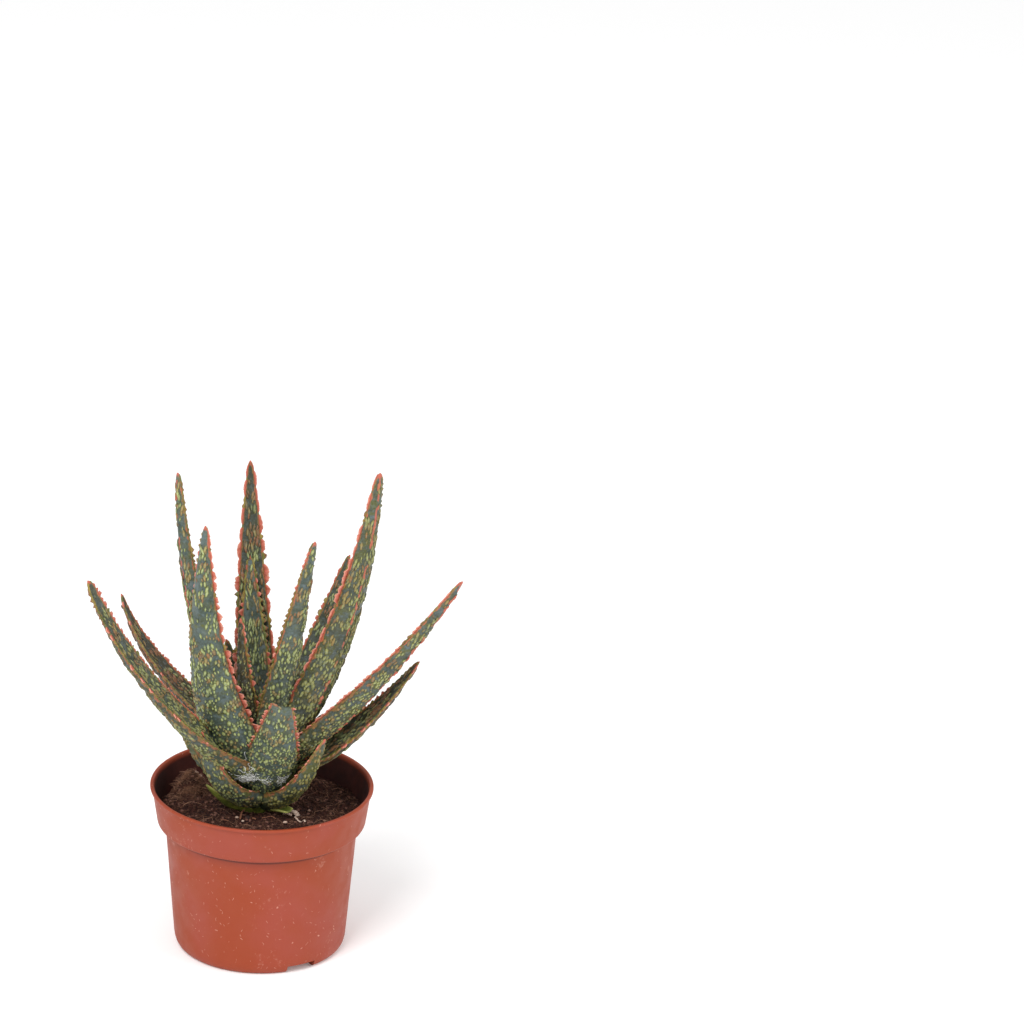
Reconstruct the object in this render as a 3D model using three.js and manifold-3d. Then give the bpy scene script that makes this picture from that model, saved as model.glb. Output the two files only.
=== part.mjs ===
// A small aloe in a round plastic nursery pot: millimetres, +Z up, origin under the middle of the pot.
// The side that a viewer looks at is -Y, and a heading is an angle from +X, counted anticlockwise.
import * as THREE from "three";
import { mergeVertices } from "three/addons/utils/BufferGeometryUtils.js";
import Module from "manifold-3d";

const wasm = await Module();
wasm.setup();

// Room left between two pieces that touch
const GAP = 0.3;

// Pot. Its wall steps out from the tapered body to the collar, and the lip is turned over at the top.
const LIP_RADIUS = 52.5;
const POT_HEIGHT = 80.4;
const LIP_WIDTH = 1.9;
const LIP_THICKNESS = 1.4;
const LIP_ROUNDING = 0.4;
const COLLAR_TOP_RADIUS = 51.5;
const COLLAR_FOOT_RADIUS = 48.9;
const COLLAR_FOOT_HEIGHT = 62.1;
const BODY_TOP_RADIUS = 45.3;
const BODY_FOOT_RADIUS = 40.1;
const SHOULDER_ROUNDING = 0.9;
const WALL = 1.2;
const FOOT_ROUNDING = 5.2;
const FOOT_STEPS = 4;
const FOOT_RING_WIDTH = 1.6;
const FLOOR_HEIGHT = 3.2;
const PAD_RADIUS = 14;
const PAD_SLOPE = 2.4;
const FLOOR_FILLET = 1.6;
const INNER_SHOULDER = COLLAR_FOOT_HEIGHT + WALL;
const POT_FACETS = 40;
const DRAIN_HOLES = 6;
const DRAIN_RADIUS = 3.2;
const DRAIN_CIRCLE = 27;
const DRAIN_FACETS = 12;
const NOTCH_HEADINGS = [-58, 122];
const NOTCH_WIDTH = 14.5;
const NOTCH_HEIGHT = 3.7;
const NOTCH_DEPTH = 17;

// Soil
const SOIL_EDGE_HEIGHT = 66.5;
const SOIL_CROWN = 2.6;
const SOIL_FACETS = 40;
const SOIL_RINGS = 9;
const SOIL_WAVE = 0.5;
const SOIL_WAVE_LENGTHS = [4.1, 3.7];
// Clods that stand out of the soil: heading, distance from the middle, radius, height
const CLODS = [
  { heading: 152, reach: 39.2, radius: 9.6, height: 10.5 },
  { heading: 176, reach: 41, radius: 6, height: 2.5 },
  { heading: 184, reach: 33, radius: 5, height: 2.4 },
  { heading: 118, reach: 34, radius: 9, height: 2.4 },
  { heading: 44, reach: 36, radius: 10, height: 3.0 },
  { heading: 12, reach: 37, radius: 9, height: 1.8 },
  { heading: 268, reach: 30, radius: 11, height: 1.6 },
  { heading: 318, reach: 33, radius: 9, height: 2.0 },
  { heading: 222, reach: 34, radius: 9, height: 1.4 },
];

// Stem
const STEM_RADIUS = 7.5;
const STEM_ROOT_SHARE = 0.7;
const STEM_NECK_RADIUS = 4.5;
const STEM_TOP_RADIUS = 2.5;
const STEM_ROOT_HEIGHT = 54;
const STEM_FULL_HEIGHTS = [60, 82];
const STEM_NECK_HEIGHT = 96;
const STEM_TOP_HEIGHT = 104;
const STEM_FACETS = 14;

// Leaf build
const REACH_LOW = 8;
const REACH_HIGH = 4;
const REACH_HEIGHT = 80;
const REACH_LESS = 0.12;
const LEAF_STEPS = 9;
const LEAF_ACROSS = 6;
const SHEATH_LENGTH = 9;
const SHEATH_SHARE = 0.3;
const SHEATH_STEPS = 2;
const SHEATH_TURN = 42;
const SHEATH_RISE = 80;
const SHEATH_NARROWING = 0.15;
const SHEATH_THINNING = 0.5;
const BLADE_THINNING = 0.7;
const KEEL = 0.7;
const EDGE_THICKNESS = 1.0;
const TIP_WIDTH = 0.7;
const TIP_THICKNESS = 0.8;
const TAPER = 0.82;
const ROLL_REACH = 0.33;
// Half the angle that a section curves through, at the stem and further out
const CLASP = 64;
const CHANNEL = 26;

// The leaves, from the innermost to the outermost. heading and rise turn from their first value at
// the stem to their second at the tip; an ease above 1 puts most of that turn near the stem, and one
// below 1 near the tip. foot is the height on the stem, and roll turns the blade on its own line.
// Each leaf is written as its curve and then its blade.
const LEAVES = {
  leaf_heart_front: {
    heading: [242, 238], rise: [64, 90], ease: 1.1,
    length: 74, foot: 101, width: 14, thickness: 5, roll: 0,
  },
  leaf_heart_back: {
    heading: [104, 106], rise: [66, 78], ease: 1.1,
    length: 90, foot: 98, width: 24, thickness: 5, roll: 20,
  },
  leaf_crown_back: {
    heading: [103, 105], rise: [58, 85], ease: 2.0,
    length: 138, foot: 96, width: 27, thickness: 6, roll: 8,
  },
  leaf_crown_right: {
    heading: [298, 302], rise: [70, 73], ease: 1.0,
    length: 134, foot: 95, width: 24, thickness: 7, roll: -8,
  },
  leaf_side_left: {
    heading: [186, 187], rise: [63, 88], ease: 1.2,
    length: 151, foot: 93, width: 21, thickness: 6, roll: -34,
  },
  leaf_back_right: {
    heading: [38, 38], rise: [60, 69], ease: 1.6,
    length: 102, foot: 93, width: 23, thickness: 6, roll: -4,
  },
  leaf_side_right: {
    heading: [330, 324], rise: [58, 84], ease: 1.0,
    length: 173, foot: 91, width: 30, thickness: 7, roll: 20,
  },
  leaf_crown_left: {
    heading: [230, 204], rise: [51, 94], ease: 1.6,
    length: 145, foot: 84, width: 36, thickness: 8, roll: -34,
  },
  leaf_back_left: {
    heading: [154, 163], rise: [25, 87], ease: 0.5,
    length: 100, foot: 94, width: 23, thickness: 6, roll: 0,
  },
  leaf_back_inner: {
    heading: [126, 122], rise: [52, 72], ease: 1.0,
    length: 57, foot: 92, width: 20, thickness: 6, roll: 0,
  },
  leaf_back_middle: {
    heading: [76, 80], rise: [46, 70], ease: 1.2,
    length: 62, foot: 90, width: 23, thickness: 6, roll: 0,
  },
  leaf_outer_right: {
    heading: [340, 339], rise: [42, 59], ease: 1.1,
    length: 145, foot: 89, width: 25, thickness: 7, roll: 16,
  },
  leaf_outer_left: {
    heading: [232, 208], rise: [38, 73], ease: 0.7,
    length: 163, foot: 84, width: 28, thickness: 7, roll: 26,
  },
  leaf_front_short: {
    heading: [281, 282], rise: [47, 65], ease: 0.8,
    length: 88, foot: 81, width: 35, thickness: 8, roll: 16,
  },
  leaf_low_right: {
    heading: [347, 350], rise: [27, 58], ease: 1.4,
    length: 96, foot: 85, width: 23, thickness: 5, roll: -30,
  },
  leaf_old_right: {
    heading: [8, 8], rise: [46, 52], ease: 1.0,
    length: 34, foot: 90, width: 15, thickness: 4, roll: 0,
  },
  leaf_low_back: {
    heading: [98, 96], rise: [22, 60], ease: 1.4,
    length: 66, foot: 83, width: 23, thickness: 7, roll: 0,
  },
  leaf_low_back_left: {
    heading: [140, 142], rise: [14, 58], ease: 1.4,
    length: 48, foot: 79, width: 20, thickness: 6, roll: 0,
  },
  leaf_low_back_right: {
    heading: [60, 58], rise: [16, 58], ease: 1.4,
    length: 46, foot: 80, width: 20, thickness: 6, roll: 0,
  },
  leaf_foot_left: {
    heading: [229, 226], rise: [17, 80], ease: 1.4,
    length: 59, foot: 75, width: 28, thickness: 7, roll: 6,
  },
  leaf_foot_right: {
    heading: [313, 317], rise: [22, 68], ease: 1.8,
    length: 58, foot: 74, width: 25, thickness: 7, roll: -10,
  },
  leaf_foot_side: {
    heading: [197, 196], rise: [12, 66], ease: 2.2,
    length: 52, foot: 78, width: 18, thickness: 5, roll: 0,
  },
};

// What is left of leaves that died or were cut. end is the width of a blunt end.
const REMNANTS = {
  cut_leaf_blade: {
    heading: [214, 168], rise: [24, 48], ease: 1.0,
    length: 25, foot: 68.5, width: 13, thickness: 2.4, roll: -50,
  },
  leaf_stub_front: {
    heading: [258, 256], rise: [60, 50], ease: 1.0,
    length: 9, foot: 70, width: 9, thickness: 2.6, roll: 0, end: 6,
  },
  leaf_stub_right: {
    heading: [308, 332], rise: [14, 4], ease: 1.0,
    length: 12, foot: 71, width: 10, thickness: 3, roll: 0, end: 5,
  },
};

// Finishes
const pot_plastic = new THREE.MeshStandardMaterial({ color: 0xb25b42, roughness: 0.6, metalness: 0 });
const potting_soil = new THREE.MeshStandardMaterial({ color: 0x33211a, roughness: 1, metalness: 0 });
const leaf_skin = new THREE.MeshStandardMaterial({ color: 0x566f4e, roughness: 0.55, metalness: 0 });
const stem_bark = new THREE.MeshStandardMaterial({ color: 0x6e6a3c, roughness: 0.8, metalness: 0 });
const dry_leaf = new THREE.MeshStandardMaterial({ color: 0x6c7a2c, roughness: 0.7, metalness: 0 });

const radians = THREE.MathUtils.degToRad;
const mix = THREE.MathUtils.lerp;

// A heading and a reach as a point on the ground plane
function polar(heading, reach, height = 0) {
  const turn = radians(heading);
  return new THREE.Vector3(reach * Math.cos(turn), reach * Math.sin(turn), height);
}

// A closed mesh as a solid that can be cut, and back
function solidOf(geometry) {
  const bare = geometry.clone();
  bare.deleteAttribute("normal");
  bare.deleteAttribute("uv");
  const merged = mergeVertices(bare, 1e-4);
  return new wasm.Manifold(new wasm.Mesh({
    numProp: 3,
    vertProperties: new Float32Array(merged.attributes.position.array),
    triVerts: new Uint32Array(merged.index.array),
  }));
}

function geometryOf(solid) {
  const mesh = solid.getMesh();
  const geometry = new THREE.BufferGeometry();
  geometry.setAttribute("position", new THREE.BufferAttribute(new Float32Array(mesh.vertProperties), 3));
  geometry.setIndex(new THREE.BufferAttribute(new Uint32Array(mesh.triVerts), 1));
  geometry.computeVertexNormals();
  return geometry;
}

// The biggest body of a solid, because a cut may leave crumbs
function biggestBody(solid) {
  const bodies = solid.decompose();
  return bodies.reduce((best, body) => (body.volume() > best.volume() ? body : best));
}

// A surface of revolution around Z from pairs of radius and height
function turned(profile, facets) {
  const points = profile.map(([radius, height]) => new THREE.Vector2(radius, height));
  return new THREE.LatheGeometry(points, facets).rotateX(Math.PI / 2);
}

// A closed skin over rings of points, whose two halves are joined across at both ends
function loft(rings) {
  const count = rings[0].length;
  const positions = [];
  for (const ring of rings) {
    for (const point of ring) positions.push(point.x, point.y, point.z);
  }
  const index = [];
  for (let i = 0; i + 1 < rings.length; i++) {
    for (let j = 0; j < count; j++) {
      const k = (j + 1) % count;
      const a = i * count + j;
      const b = i * count + k;
      const c = (i + 1) * count + k;
      const d = (i + 1) * count + j;
      index.push(a, b, c, a, c, d);
    }
  }
  for (const [start, flip] of [[0, true], [(rings.length - 1) * count, false]]) {
    for (let j = 0; j + 1 < count / 2; j++) {
      const a = start + j;
      const b = start + j + 1;
      const c = start + count - 2 - j;
      const d = start + count - 1 - j;
      if (flip) index.push(a, c, b, a, d, c);
      else index.push(a, b, c, a, c, d);
    }
  }
  const geometry = new THREE.BufferGeometry();
  geometry.setAttribute("position", new THREE.Float32BufferAttribute(positions, 3));
  geometry.setIndex(index);
  return geometry;
}

// Outer radius of the pot's tapered body at a height
function bodyRadius(height) {
  return mix(BODY_FOOT_RADIUS, BODY_TOP_RADIUS, height / COLLAR_FOOT_HEIGHT);
}

// Inner radius of the pot's wall at a height
function innerRadius(height) {
  if (height > INNER_SHOULDER) {
    const along = (height - INNER_SHOULDER) / (POT_HEIGHT - INNER_SHOULDER);
    return mix(COLLAR_FOOT_RADIUS, COLLAR_TOP_RADIUS, along) - WALL;
  }
  return bodyRadius(height) - WALL;
}

// The pot: one moulded shell with a rolled lip, a collar, a foot ring and a floor with a pad
function makePot() {
  const ringRadius = bodyRadius(FOOT_ROUNDING) - FOOT_ROUNDING - FOOT_RING_WIDTH;
  const floor = FLOOR_HEIGHT + WALL;
  const rounding = [];
  for (let i = 0; i < FOOT_STEPS; i++) {
    const turn = (i / (FOOT_STEPS - 1)) * (Math.PI / 2);
    const radius = bodyRadius(FOOT_ROUNDING) - FOOT_ROUNDING * (1 - Math.sin(turn));
    rounding.push([radius, FOOT_ROUNDING * (1 - Math.cos(turn))]);
  }
  const outside = [
    [0, 0],
    [PAD_RADIUS, 0],
    [PAD_RADIUS + PAD_SLOPE, FLOOR_HEIGHT],
    [ringRadius - WALL / 2, FLOOR_HEIGHT],
    [ringRadius, 0],
    ...rounding,
    [BODY_TOP_RADIUS, COLLAR_FOOT_HEIGHT],
    [COLLAR_FOOT_RADIUS - SHOULDER_ROUNDING, COLLAR_FOOT_HEIGHT],
    [COLLAR_FOOT_RADIUS, COLLAR_FOOT_HEIGHT + SHOULDER_ROUNDING],
    [COLLAR_TOP_RADIUS, POT_HEIGHT - LIP_THICKNESS],
    [LIP_RADIUS - LIP_ROUNDING, POT_HEIGHT - LIP_THICKNESS],
    [LIP_RADIUS, POT_HEIGHT - LIP_THICKNESS / 2],
    [LIP_RADIUS - LIP_ROUNDING, POT_HEIGHT],
    [LIP_RADIUS - LIP_WIDTH + LIP_ROUNDING, POT_HEIGHT],
    [COLLAR_TOP_RADIUS - WALL, POT_HEIGHT - LIP_THICKNESS],
  ];
  const inside = [
    [innerRadius(INNER_SHOULDER + WALL), INNER_SHOULDER + WALL],
    [innerRadius(INNER_SHOULDER), INNER_SHOULDER],
    [innerRadius(floor + FLOOR_FILLET), floor + FLOOR_FILLET],
    [innerRadius(floor) - FLOOR_FILLET, floor],
    [PAD_RADIUS + PAD_SLOPE, floor],
    [PAD_RADIUS, WALL],
    [0, WALL],
  ];
  let shell = solidOf(turned([...outside, ...inside], POT_FACETS));
  for (let i = 0; i < DRAIN_HOLES; i++) {
    const hole = new THREE.CylinderGeometry(DRAIN_RADIUS, DRAIN_RADIUS, 2 * floor, DRAIN_FACETS);
    const centre = polar((360 / DRAIN_HOLES) * i, DRAIN_CIRCLE);
    hole.rotateX(Math.PI / 2).translate(centre.x, centre.y, floor);
    shell = shell.subtract(solidOf(hole));
  }
  for (const heading of NOTCH_HEADINGS) {
    const notch = new THREE.BoxGeometry(NOTCH_DEPTH, NOTCH_WIDTH, 2 * NOTCH_HEIGHT);
    notch.translate(BODY_FOOT_RADIUS, 0, 0).rotateZ(radians(heading));
    shell = shell.subtract(solidOf(notch));
  }
  return biggestBody(shell);
}

// Height of the soil's surface at a point: a low crown with clods and a fine unevenness
function soilHeight(x, y) {
  const reach = Math.hypot(x, y) / innerRadius(SOIL_EDGE_HEIGHT);
  let height = SOIL_EDGE_HEIGHT + SOIL_CROWN * (1 - reach * reach);
  const [waveX, waveY] = SOIL_WAVE_LENGTHS;
  height += SOIL_WAVE * Math.sin(x / waveX) * Math.sin(y / waveY);
  for (const clod of CLODS) {
    const centre = polar(clod.heading, clod.reach);
    const near = Math.hypot(x - centre.x, y - centre.y) / clod.radius;
    if (near < 1) height += clod.height * Math.cos((near * Math.PI) / 2) ** 1.5;
  }
  return height;
}

// The soil: it fills the pot up to its uneven surface
function makeSoil() {
  const floor = FLOOR_HEIGHT + WALL + GAP;
  const wall = (height) => innerRadius(height) - GAP;
  const sides = [
    [PAD_RADIUS - GAP, WALL + GAP],
    [PAD_RADIUS + PAD_SLOPE - GAP, floor],
    [wall(floor) - FLOOR_FILLET, floor],
    [wall(floor + FLOOR_FILLET), floor + FLOOR_FILLET],
    [wall(INNER_SHOULDER), INNER_SHOULDER + GAP],
    [wall(INNER_SHOULDER + WALL), INNER_SHOULDER + WALL + GAP],
  ];
  const rings = sides.map(([radius, height]) => ({ radius, height: () => height }));
  const rim = wall(SOIL_EDGE_HEIGHT);
  for (let i = 0; i < SOIL_RINGS; i++) {
    rings.push({ radius: rim * (1 - i / SOIL_RINGS), height: soilHeight });
  }
  const skin = rings.map(({ radius, height }) => {
    const ring = [];
    for (let j = 0; j < SOIL_FACETS; j++) {
      const point = polar((360 / SOIL_FACETS) * j, radius);
      point.z = height(point.x, point.y);
      ring.push(point);
    }
    return ring;
  });
  return solidOf(loft(skin));
}

// The short stem that all the leaves sit on, with its foot in the soil
function makeStem(grow = 0) {
  const [fullFrom, fullTo] = STEM_FULL_HEIGHTS;
  const profile = [
    [0, STEM_ROOT_HEIGHT - grow],
    [STEM_RADIUS * STEM_ROOT_SHARE + grow, STEM_ROOT_HEIGHT - grow],
    [STEM_RADIUS + grow, fullFrom],
    [STEM_RADIUS + grow, fullTo],
    [STEM_NECK_RADIUS + grow, STEM_NECK_HEIGHT],
    [STEM_TOP_RADIUS + grow, STEM_TOP_HEIGHT + grow],
    [0, STEM_TOP_HEIGHT + grow],
  ];
  return solidOf(turned(profile, STEM_FACETS));
}

// Distance from the middle of the pot at which a leaf with its foot at this height begins: leaves
// that sit higher begin closer to the middle, as the stem narrows
function footReach(height) {
  const reach = REACH_LOW - (height - REACH_HEIGHT) * REACH_LESS;
  return THREE.MathUtils.clamp(reach, REACH_HIGH, REACH_LOW);
}

// The places along a leaf: its point, its direction, its upward side and how far along it is.
// The sheath comes first: it stands almost upright on the stem, and then the blade leaves it.
function spine(leaf) {
  const [headingFoot, headingTip] = leaf.heading;
  const [riseFoot, riseTip] = leaf.rise;
  const places = [];
  const direction = (heading, rise) => {
    const flat = Math.cos(radians(rise));
    const ahead = polar(heading, flat, Math.sin(radians(rise)));
    const up = polar(heading, -Math.sin(radians(rise)), flat);
    return { ahead, up };
  };
  const sheath = [];
  const point = polar(headingFoot, footReach(leaf.foot), leaf.foot);
  const back = point.clone();
  const length = Math.min(SHEATH_LENGTH, leaf.length * SHEATH_SHARE);
  const riseSheath = Math.min(riseFoot + SHEATH_TURN, SHEATH_RISE);
  for (let i = 1; i <= SHEATH_STEPS; i++) {
    const along = i / SHEATH_STEPS;
    const { ahead, up } = direction(headingFoot, mix(riseFoot, riseSheath, along));
    back.addScaledVector(ahead, -length / SHEATH_STEPS);
    sheath.unshift({ point: back.clone(), ahead, up, along: 0, sheath: along });
  }
  places.push(...sheath);
  for (let i = 0; i <= LEAF_STEPS; i++) {
    const along = i / LEAF_STEPS;
    const rise = riseTip + (riseFoot - riseTip) * (1 - along) ** leaf.ease;
    const { ahead, up } = direction(mix(headingFoot, headingTip, along), rise);
    places.push({ point: point.clone(), ahead, up, along, sheath: 0 });
    const middle = along + 0.5 / LEAF_STEPS;
    const next = riseTip + (riseFoot - riseTip) * Math.max(0, 1 - middle) ** leaf.ease;
    const step = direction(mix(headingFoot, headingTip, middle), next).ahead;
    point.addScaledVector(step, leaf.length / LEAF_STEPS);
  }
  return places;
}

// One cross-section: a crescent, hollow above and keeled below, that clasps the stem at its foot
function crescent(leaf, place, grow) {
  const left = 1 - place.along;
  const narrowing = 1 - SHEATH_NARROWING * place.sheath;
  const thinning = 1 - SHEATH_THINNING * place.sheath;
  const width = mix(leaf.end ?? TIP_WIDTH, leaf.width, left ** TAPER) * narrowing + 2 * grow;
  const thickness = mix(TIP_THICKNESS, leaf.thickness, left ** BLADE_THINNING) * thinning;
  const keel = place.along * KEEL;
  const edge = radians(mix(CHANNEL, CLASP, left ** 4));
  const bend = edge / (width / 2);
  const roll = radians(leaf.roll) * Math.min(1, place.along / ROLL_REACH);
  const side = new THREE.Vector3().crossVectors(place.ahead, place.up);
  const across = side.clone().multiplyScalar(Math.cos(roll)).addScaledVector(place.up, Math.sin(roll));
  const upward = new THREE.Vector3().crossVectors(across, place.ahead);
  const onSkin = (share, depth) => {
    const turn = share * edge;
    const x = Math.sin(turn) / bend - Math.sin(turn) * depth;
    const y = (1 - Math.cos(turn)) / bend + Math.cos(turn) * depth;
    return place.point.clone().addScaledVector(across, x).addScaledVector(upward, y);
  };
  const depthAt = (share) => {
    const curved = Math.sqrt(Math.max(0, 1 - share * share));
    const pointed = 1 - Math.abs(share);
    return mix(Math.min(EDGE_THICKNESS, thickness), thickness, mix(curved, pointed, keel));
  };
  const ring = [];
  for (let i = 0; i <= LEAF_ACROSS; i++) {
    const share = -1 + (2 * i) / LEAF_ACROSS;
    ring.push(onSkin(share, thickness / 2 + grow));
  }
  for (let i = LEAF_ACROSS; i >= 0; i--) {
    const share = -1 + (2 * i) / LEAF_ACROSS;
    ring.push(onSkin(share, thickness / 2 - depthAt(share) - grow));
  }
  return ring;
}

// A leaf, or with grow the room that its neighbours leave for it. The sheath narrows towards its end,
// so the end that is moved outwards there grows twice as much.
function makeLeaf(leaf, grow = 0) {
  const places = spine(leaf);
  const first = places[0];
  const last = places[places.length - 1];
  first.point.addScaledVector(first.ahead, -grow);
  last.point.addScaledVector(last.ahead, grow);
  return solidOf(loft(places.map((place) => crescent(leaf, place, place === first ? 2 * grow : grow))));
}

const plant = new THREE.Group();

function addPiece(name, solid, material) {
  const mesh = new THREE.Mesh(geometryOf(solid), material);
  mesh.name = name;
  plant.add(mesh);
}

const pot = makePot();
addPiece("pot", pot, pot_plastic);
addPiece("stem", makeStem(), stem_bark);

// Each leaf gives way to the stem, to the leaves inside it and to the pot
const grownPieces = [makeStem(GAP)];
function addGrownPiece(name, leaf, material) {
  let solid = makeLeaf(leaf);
  for (const other of grownPieces) solid = solid.subtract(other);
  addPiece(name, biggestBody(solid), material);
  grownPieces.push(makeLeaf(leaf, GAP));
}
for (const [name, leaf] of Object.entries(LEAVES)) addGrownPiece(name, leaf, leaf_skin);
for (const [name, leaf] of Object.entries(REMNANTS)) addGrownPiece(name, leaf, dry_leaf);

let soil = makeSoil();
for (const other of grownPieces) soil = soil.subtract(other);
addPiece("soil", biggestBody(soil), potting_soil);

export default plant;
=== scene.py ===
# %% [markdown]
# A small aloe in a nursery pot, as a lesson in cells
#
# The real object is a plastic pot full of peaty soil, with a rosette of fleshy leaves on a short stem.
# Every leaf is hollow above and keeled below, has raised spots, and wears a coral crest of small teeth.
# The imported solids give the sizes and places. This script loads them first and then builds the looks
# around them in the same frame, in metres.

import math

import bmesh
import bpy
import numpy as np
from mathutils import Matrix, Vector
from mathutils.bvhtree import BVHTree


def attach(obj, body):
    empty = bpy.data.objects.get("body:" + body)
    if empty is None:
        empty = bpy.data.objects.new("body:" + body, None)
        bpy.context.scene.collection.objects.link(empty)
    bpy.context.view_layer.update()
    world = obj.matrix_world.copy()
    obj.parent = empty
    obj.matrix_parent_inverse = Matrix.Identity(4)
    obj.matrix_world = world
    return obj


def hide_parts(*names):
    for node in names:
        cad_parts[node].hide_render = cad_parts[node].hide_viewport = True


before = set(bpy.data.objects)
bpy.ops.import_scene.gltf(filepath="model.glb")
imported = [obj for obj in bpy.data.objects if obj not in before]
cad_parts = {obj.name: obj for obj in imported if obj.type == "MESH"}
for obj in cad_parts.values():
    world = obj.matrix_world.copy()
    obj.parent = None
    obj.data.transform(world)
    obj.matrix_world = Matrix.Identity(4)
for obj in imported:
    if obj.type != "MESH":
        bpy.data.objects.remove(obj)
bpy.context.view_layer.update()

# %% [markdown]
# The camera stands where the viewer stood. A long lens far away gives the flat perspective of a
# product picture. The tilt and the small roll were found by fitting the pot's lip, collar and foot.

# %% Camera
# The lens and its sensor in millimetres, angles in radians, and distances in metres
LENS = 246.1
SENSOR = 36
TILT = 0.3913
ROLL = 0.0299
CLIP_END = 20
DISTANCE = 3.3034
TO_RIGHT = 0.11855
TO_TOP = 0.16502
AIM_HEIGHT = 0.040

to_camera = Vector((0, -math.cos(TILT), math.sin(TILT)))
level = Vector((1, 0, 0))
steep = to_camera.cross(level)
right = level * math.cos(ROLL) + steep * math.sin(ROLL)
top = steep * math.cos(ROLL) - level * math.sin(ROLL)

camera = bpy.data.objects.new("camera", bpy.data.cameras.new("camera"))
camera.data.lens = LENS
camera.data.sensor_width = SENSOR
camera.data.clip_end = CLIP_END
turn = Matrix((right, top, to_camera)).transposed()
place = to_camera * DISTANCE + right * TO_RIGHT + top * TO_TOP + Vector((0, 0, AIM_HEIGHT))
camera.matrix_world = Matrix.Translation(place) @ turn.to_4x4()
bpy.context.scene.collection.objects.link(camera)
bpy.context.scene.camera = camera
print("camera at", [round(v, 3) for v in place])

# %% [markdown]
# Colours are written as they look on a screen, from 0 to 255, and turned into the linear numbers
# that shaders want. A few helpers add nodes, whether a tree shades or makes shapes. A socket knows
# the tree that it belongs to, so a node can be added beside the ones that feed it.

# %% Colour and node helpers
def colour(*screen):
    """A screen colour as a linear RGBA."""
    linear = [v / 255 / 12.92 if v < 10.3 else ((v / 255 + 0.055) / 1.055) ** 2.4 for v in screen]
    return (*linear, 1.0)


def add(tree, kind, inputs=(), **settings):
    """Adds a node, with its settings and with values or links for its inputs."""
    node = tree.nodes.new(kind)
    for name, value in settings.items():
        setattr(node, name, value)
    for key, value in dict(inputs).items():
        if isinstance(value, bpy.types.NodeSocket):
            tree.links.new(value, node.inputs[key])
        else:
            node.inputs[key].default_value = value
    return node


def outputs_of(kind, inputs, **settings):
    """The outputs of a node added to the tree that its inputs come from."""
    tree = next(value.id_data for value in inputs.values() if isinstance(value, bpy.types.NodeSocket))
    return add(tree, kind, inputs, **settings).outputs


def follow(kind, inputs, **settings):
    """The first output of such a node."""
    return outputs_of(kind, inputs, **settings)[0]


def mixed(share, first, second):
    """A colour between two others."""
    return outputs_of("ShaderNodeMix", {0: share, 6: first, 7: second}, data_type="RGBA")[2]


def ramp(value, low, high, start=0.0, end=1.0):
    """A smooth step from start to end while a value goes from low to high."""
    inputs = {0: value, 1: low, 2: high, 3: start, 4: end}
    return follow("ShaderNodeMapRange", inputs, interpolation_type="SMOOTHSTEP")


def calc(operation, first, second=0.0):
    """One sum on numbers."""
    return follow("ShaderNodeMath", {0: first, 1: second}, operation=operation)


def product(value, *factors):
    """Numbers multiplied one after another."""
    for factor in factors:
        value = calc("MULTIPLY", value, factor)
    return value


def total(value, *others):
    """Numbers added one after another."""
    for other in others:
        value = calc("ADD", value, other)
    return value


def vector(operation, inputs, output=0):
    """One sum on vectors."""
    return outputs_of("ShaderNodeVectorMath", inputs, operation=operation)[output]


def xyz(value):
    """The three numbers of a vector."""
    return outputs_of("ShaderNodeSeparateXYZ", {0: value})


def noise(place, scale, detail=2.0, rough=0.5):
    """A soft random value from 0 to 1 that changes from place to place."""
    inputs = {"Vector": place, "Scale": scale, "Detail": detail, "Roughness": rough}
    return follow("ShaderNodeTexNoise", inputs)


def new_tree(name, kind, inputs, output, output_kind):
    """A node group, its named inputs and its one output. An input is a number or the name of a kind."""
    tree = bpy.data.node_groups.new(name, kind)
    for label, value in inputs.items():
        number = {float: "Float", int: "Int"}.get(type(value))
        socket_kind = "NodeSocket" + (number or value)
        socket = tree.interface.new_socket(label, in_out="INPUT", socket_type=socket_kind)
        if number:
            socket.default_value = value
    tree.interface.new_socket(output, in_out="OUTPUT", socket_type="NodeSocket" + output_kind)
    return tree, tree.nodes.new("NodeGroupInput").outputs, tree.nodes.new("NodeGroupOutput").inputs[0]


def new_material(name, **sockets):
    """A material with a Principled shader, and its tree and shader."""
    material = bpy.data.materials.new(name)
    material.use_nodes = True
    shader = material.node_tree.nodes["Principled BSDF"]
    for key, value in sockets.items():
        shader.inputs[key.replace("_", " ")].default_value = value
    return material, material.node_tree, shader


print("white is", colour(255, 255, 255))

# %% [markdown]
# Meshes are worked out in millimetres, as one would measure the plant, and stored in metres.
# A modifier is only a step on the way: its result becomes the object's own mesh, and it is removed.

# %% Mesh helpers
MM = 0.001


def new_object(name, points, faces, edges=(), **attributes):
    """An object from points in millimetres, with its per-point attributes."""
    mesh = bpy.data.meshes.new(name)
    mesh.from_pydata(np.asarray(points) * MM, edges, faces)
    for label, values in attributes.items():
        values = np.asarray(values, dtype=np.float32)
        kind, field = ("FLOAT_VECTOR", "vector") if values.ndim == 2 else ("FLOAT", "value")
        mesh.attributes.new(label, kind, "POINT").data.foreach_set(field, values.ravel())
    made = bpy.data.objects.new(name, mesh)
    bpy.context.scene.collection.objects.link(made)
    return made


def add_nodes(piece, tree, **values):
    """A Geometry Nodes modifier with its named inputs set by their identifiers."""
    modifier = piece.modifiers.new(tree.name, "NODES")
    modifier.node_group = tree
    for item in tree.interface.items_tree:
        if item.in_out == "INPUT" and item.name.replace(" ", "_") in values:
            modifier[item.identifier] = values[item.name.replace(" ", "_")]


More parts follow.
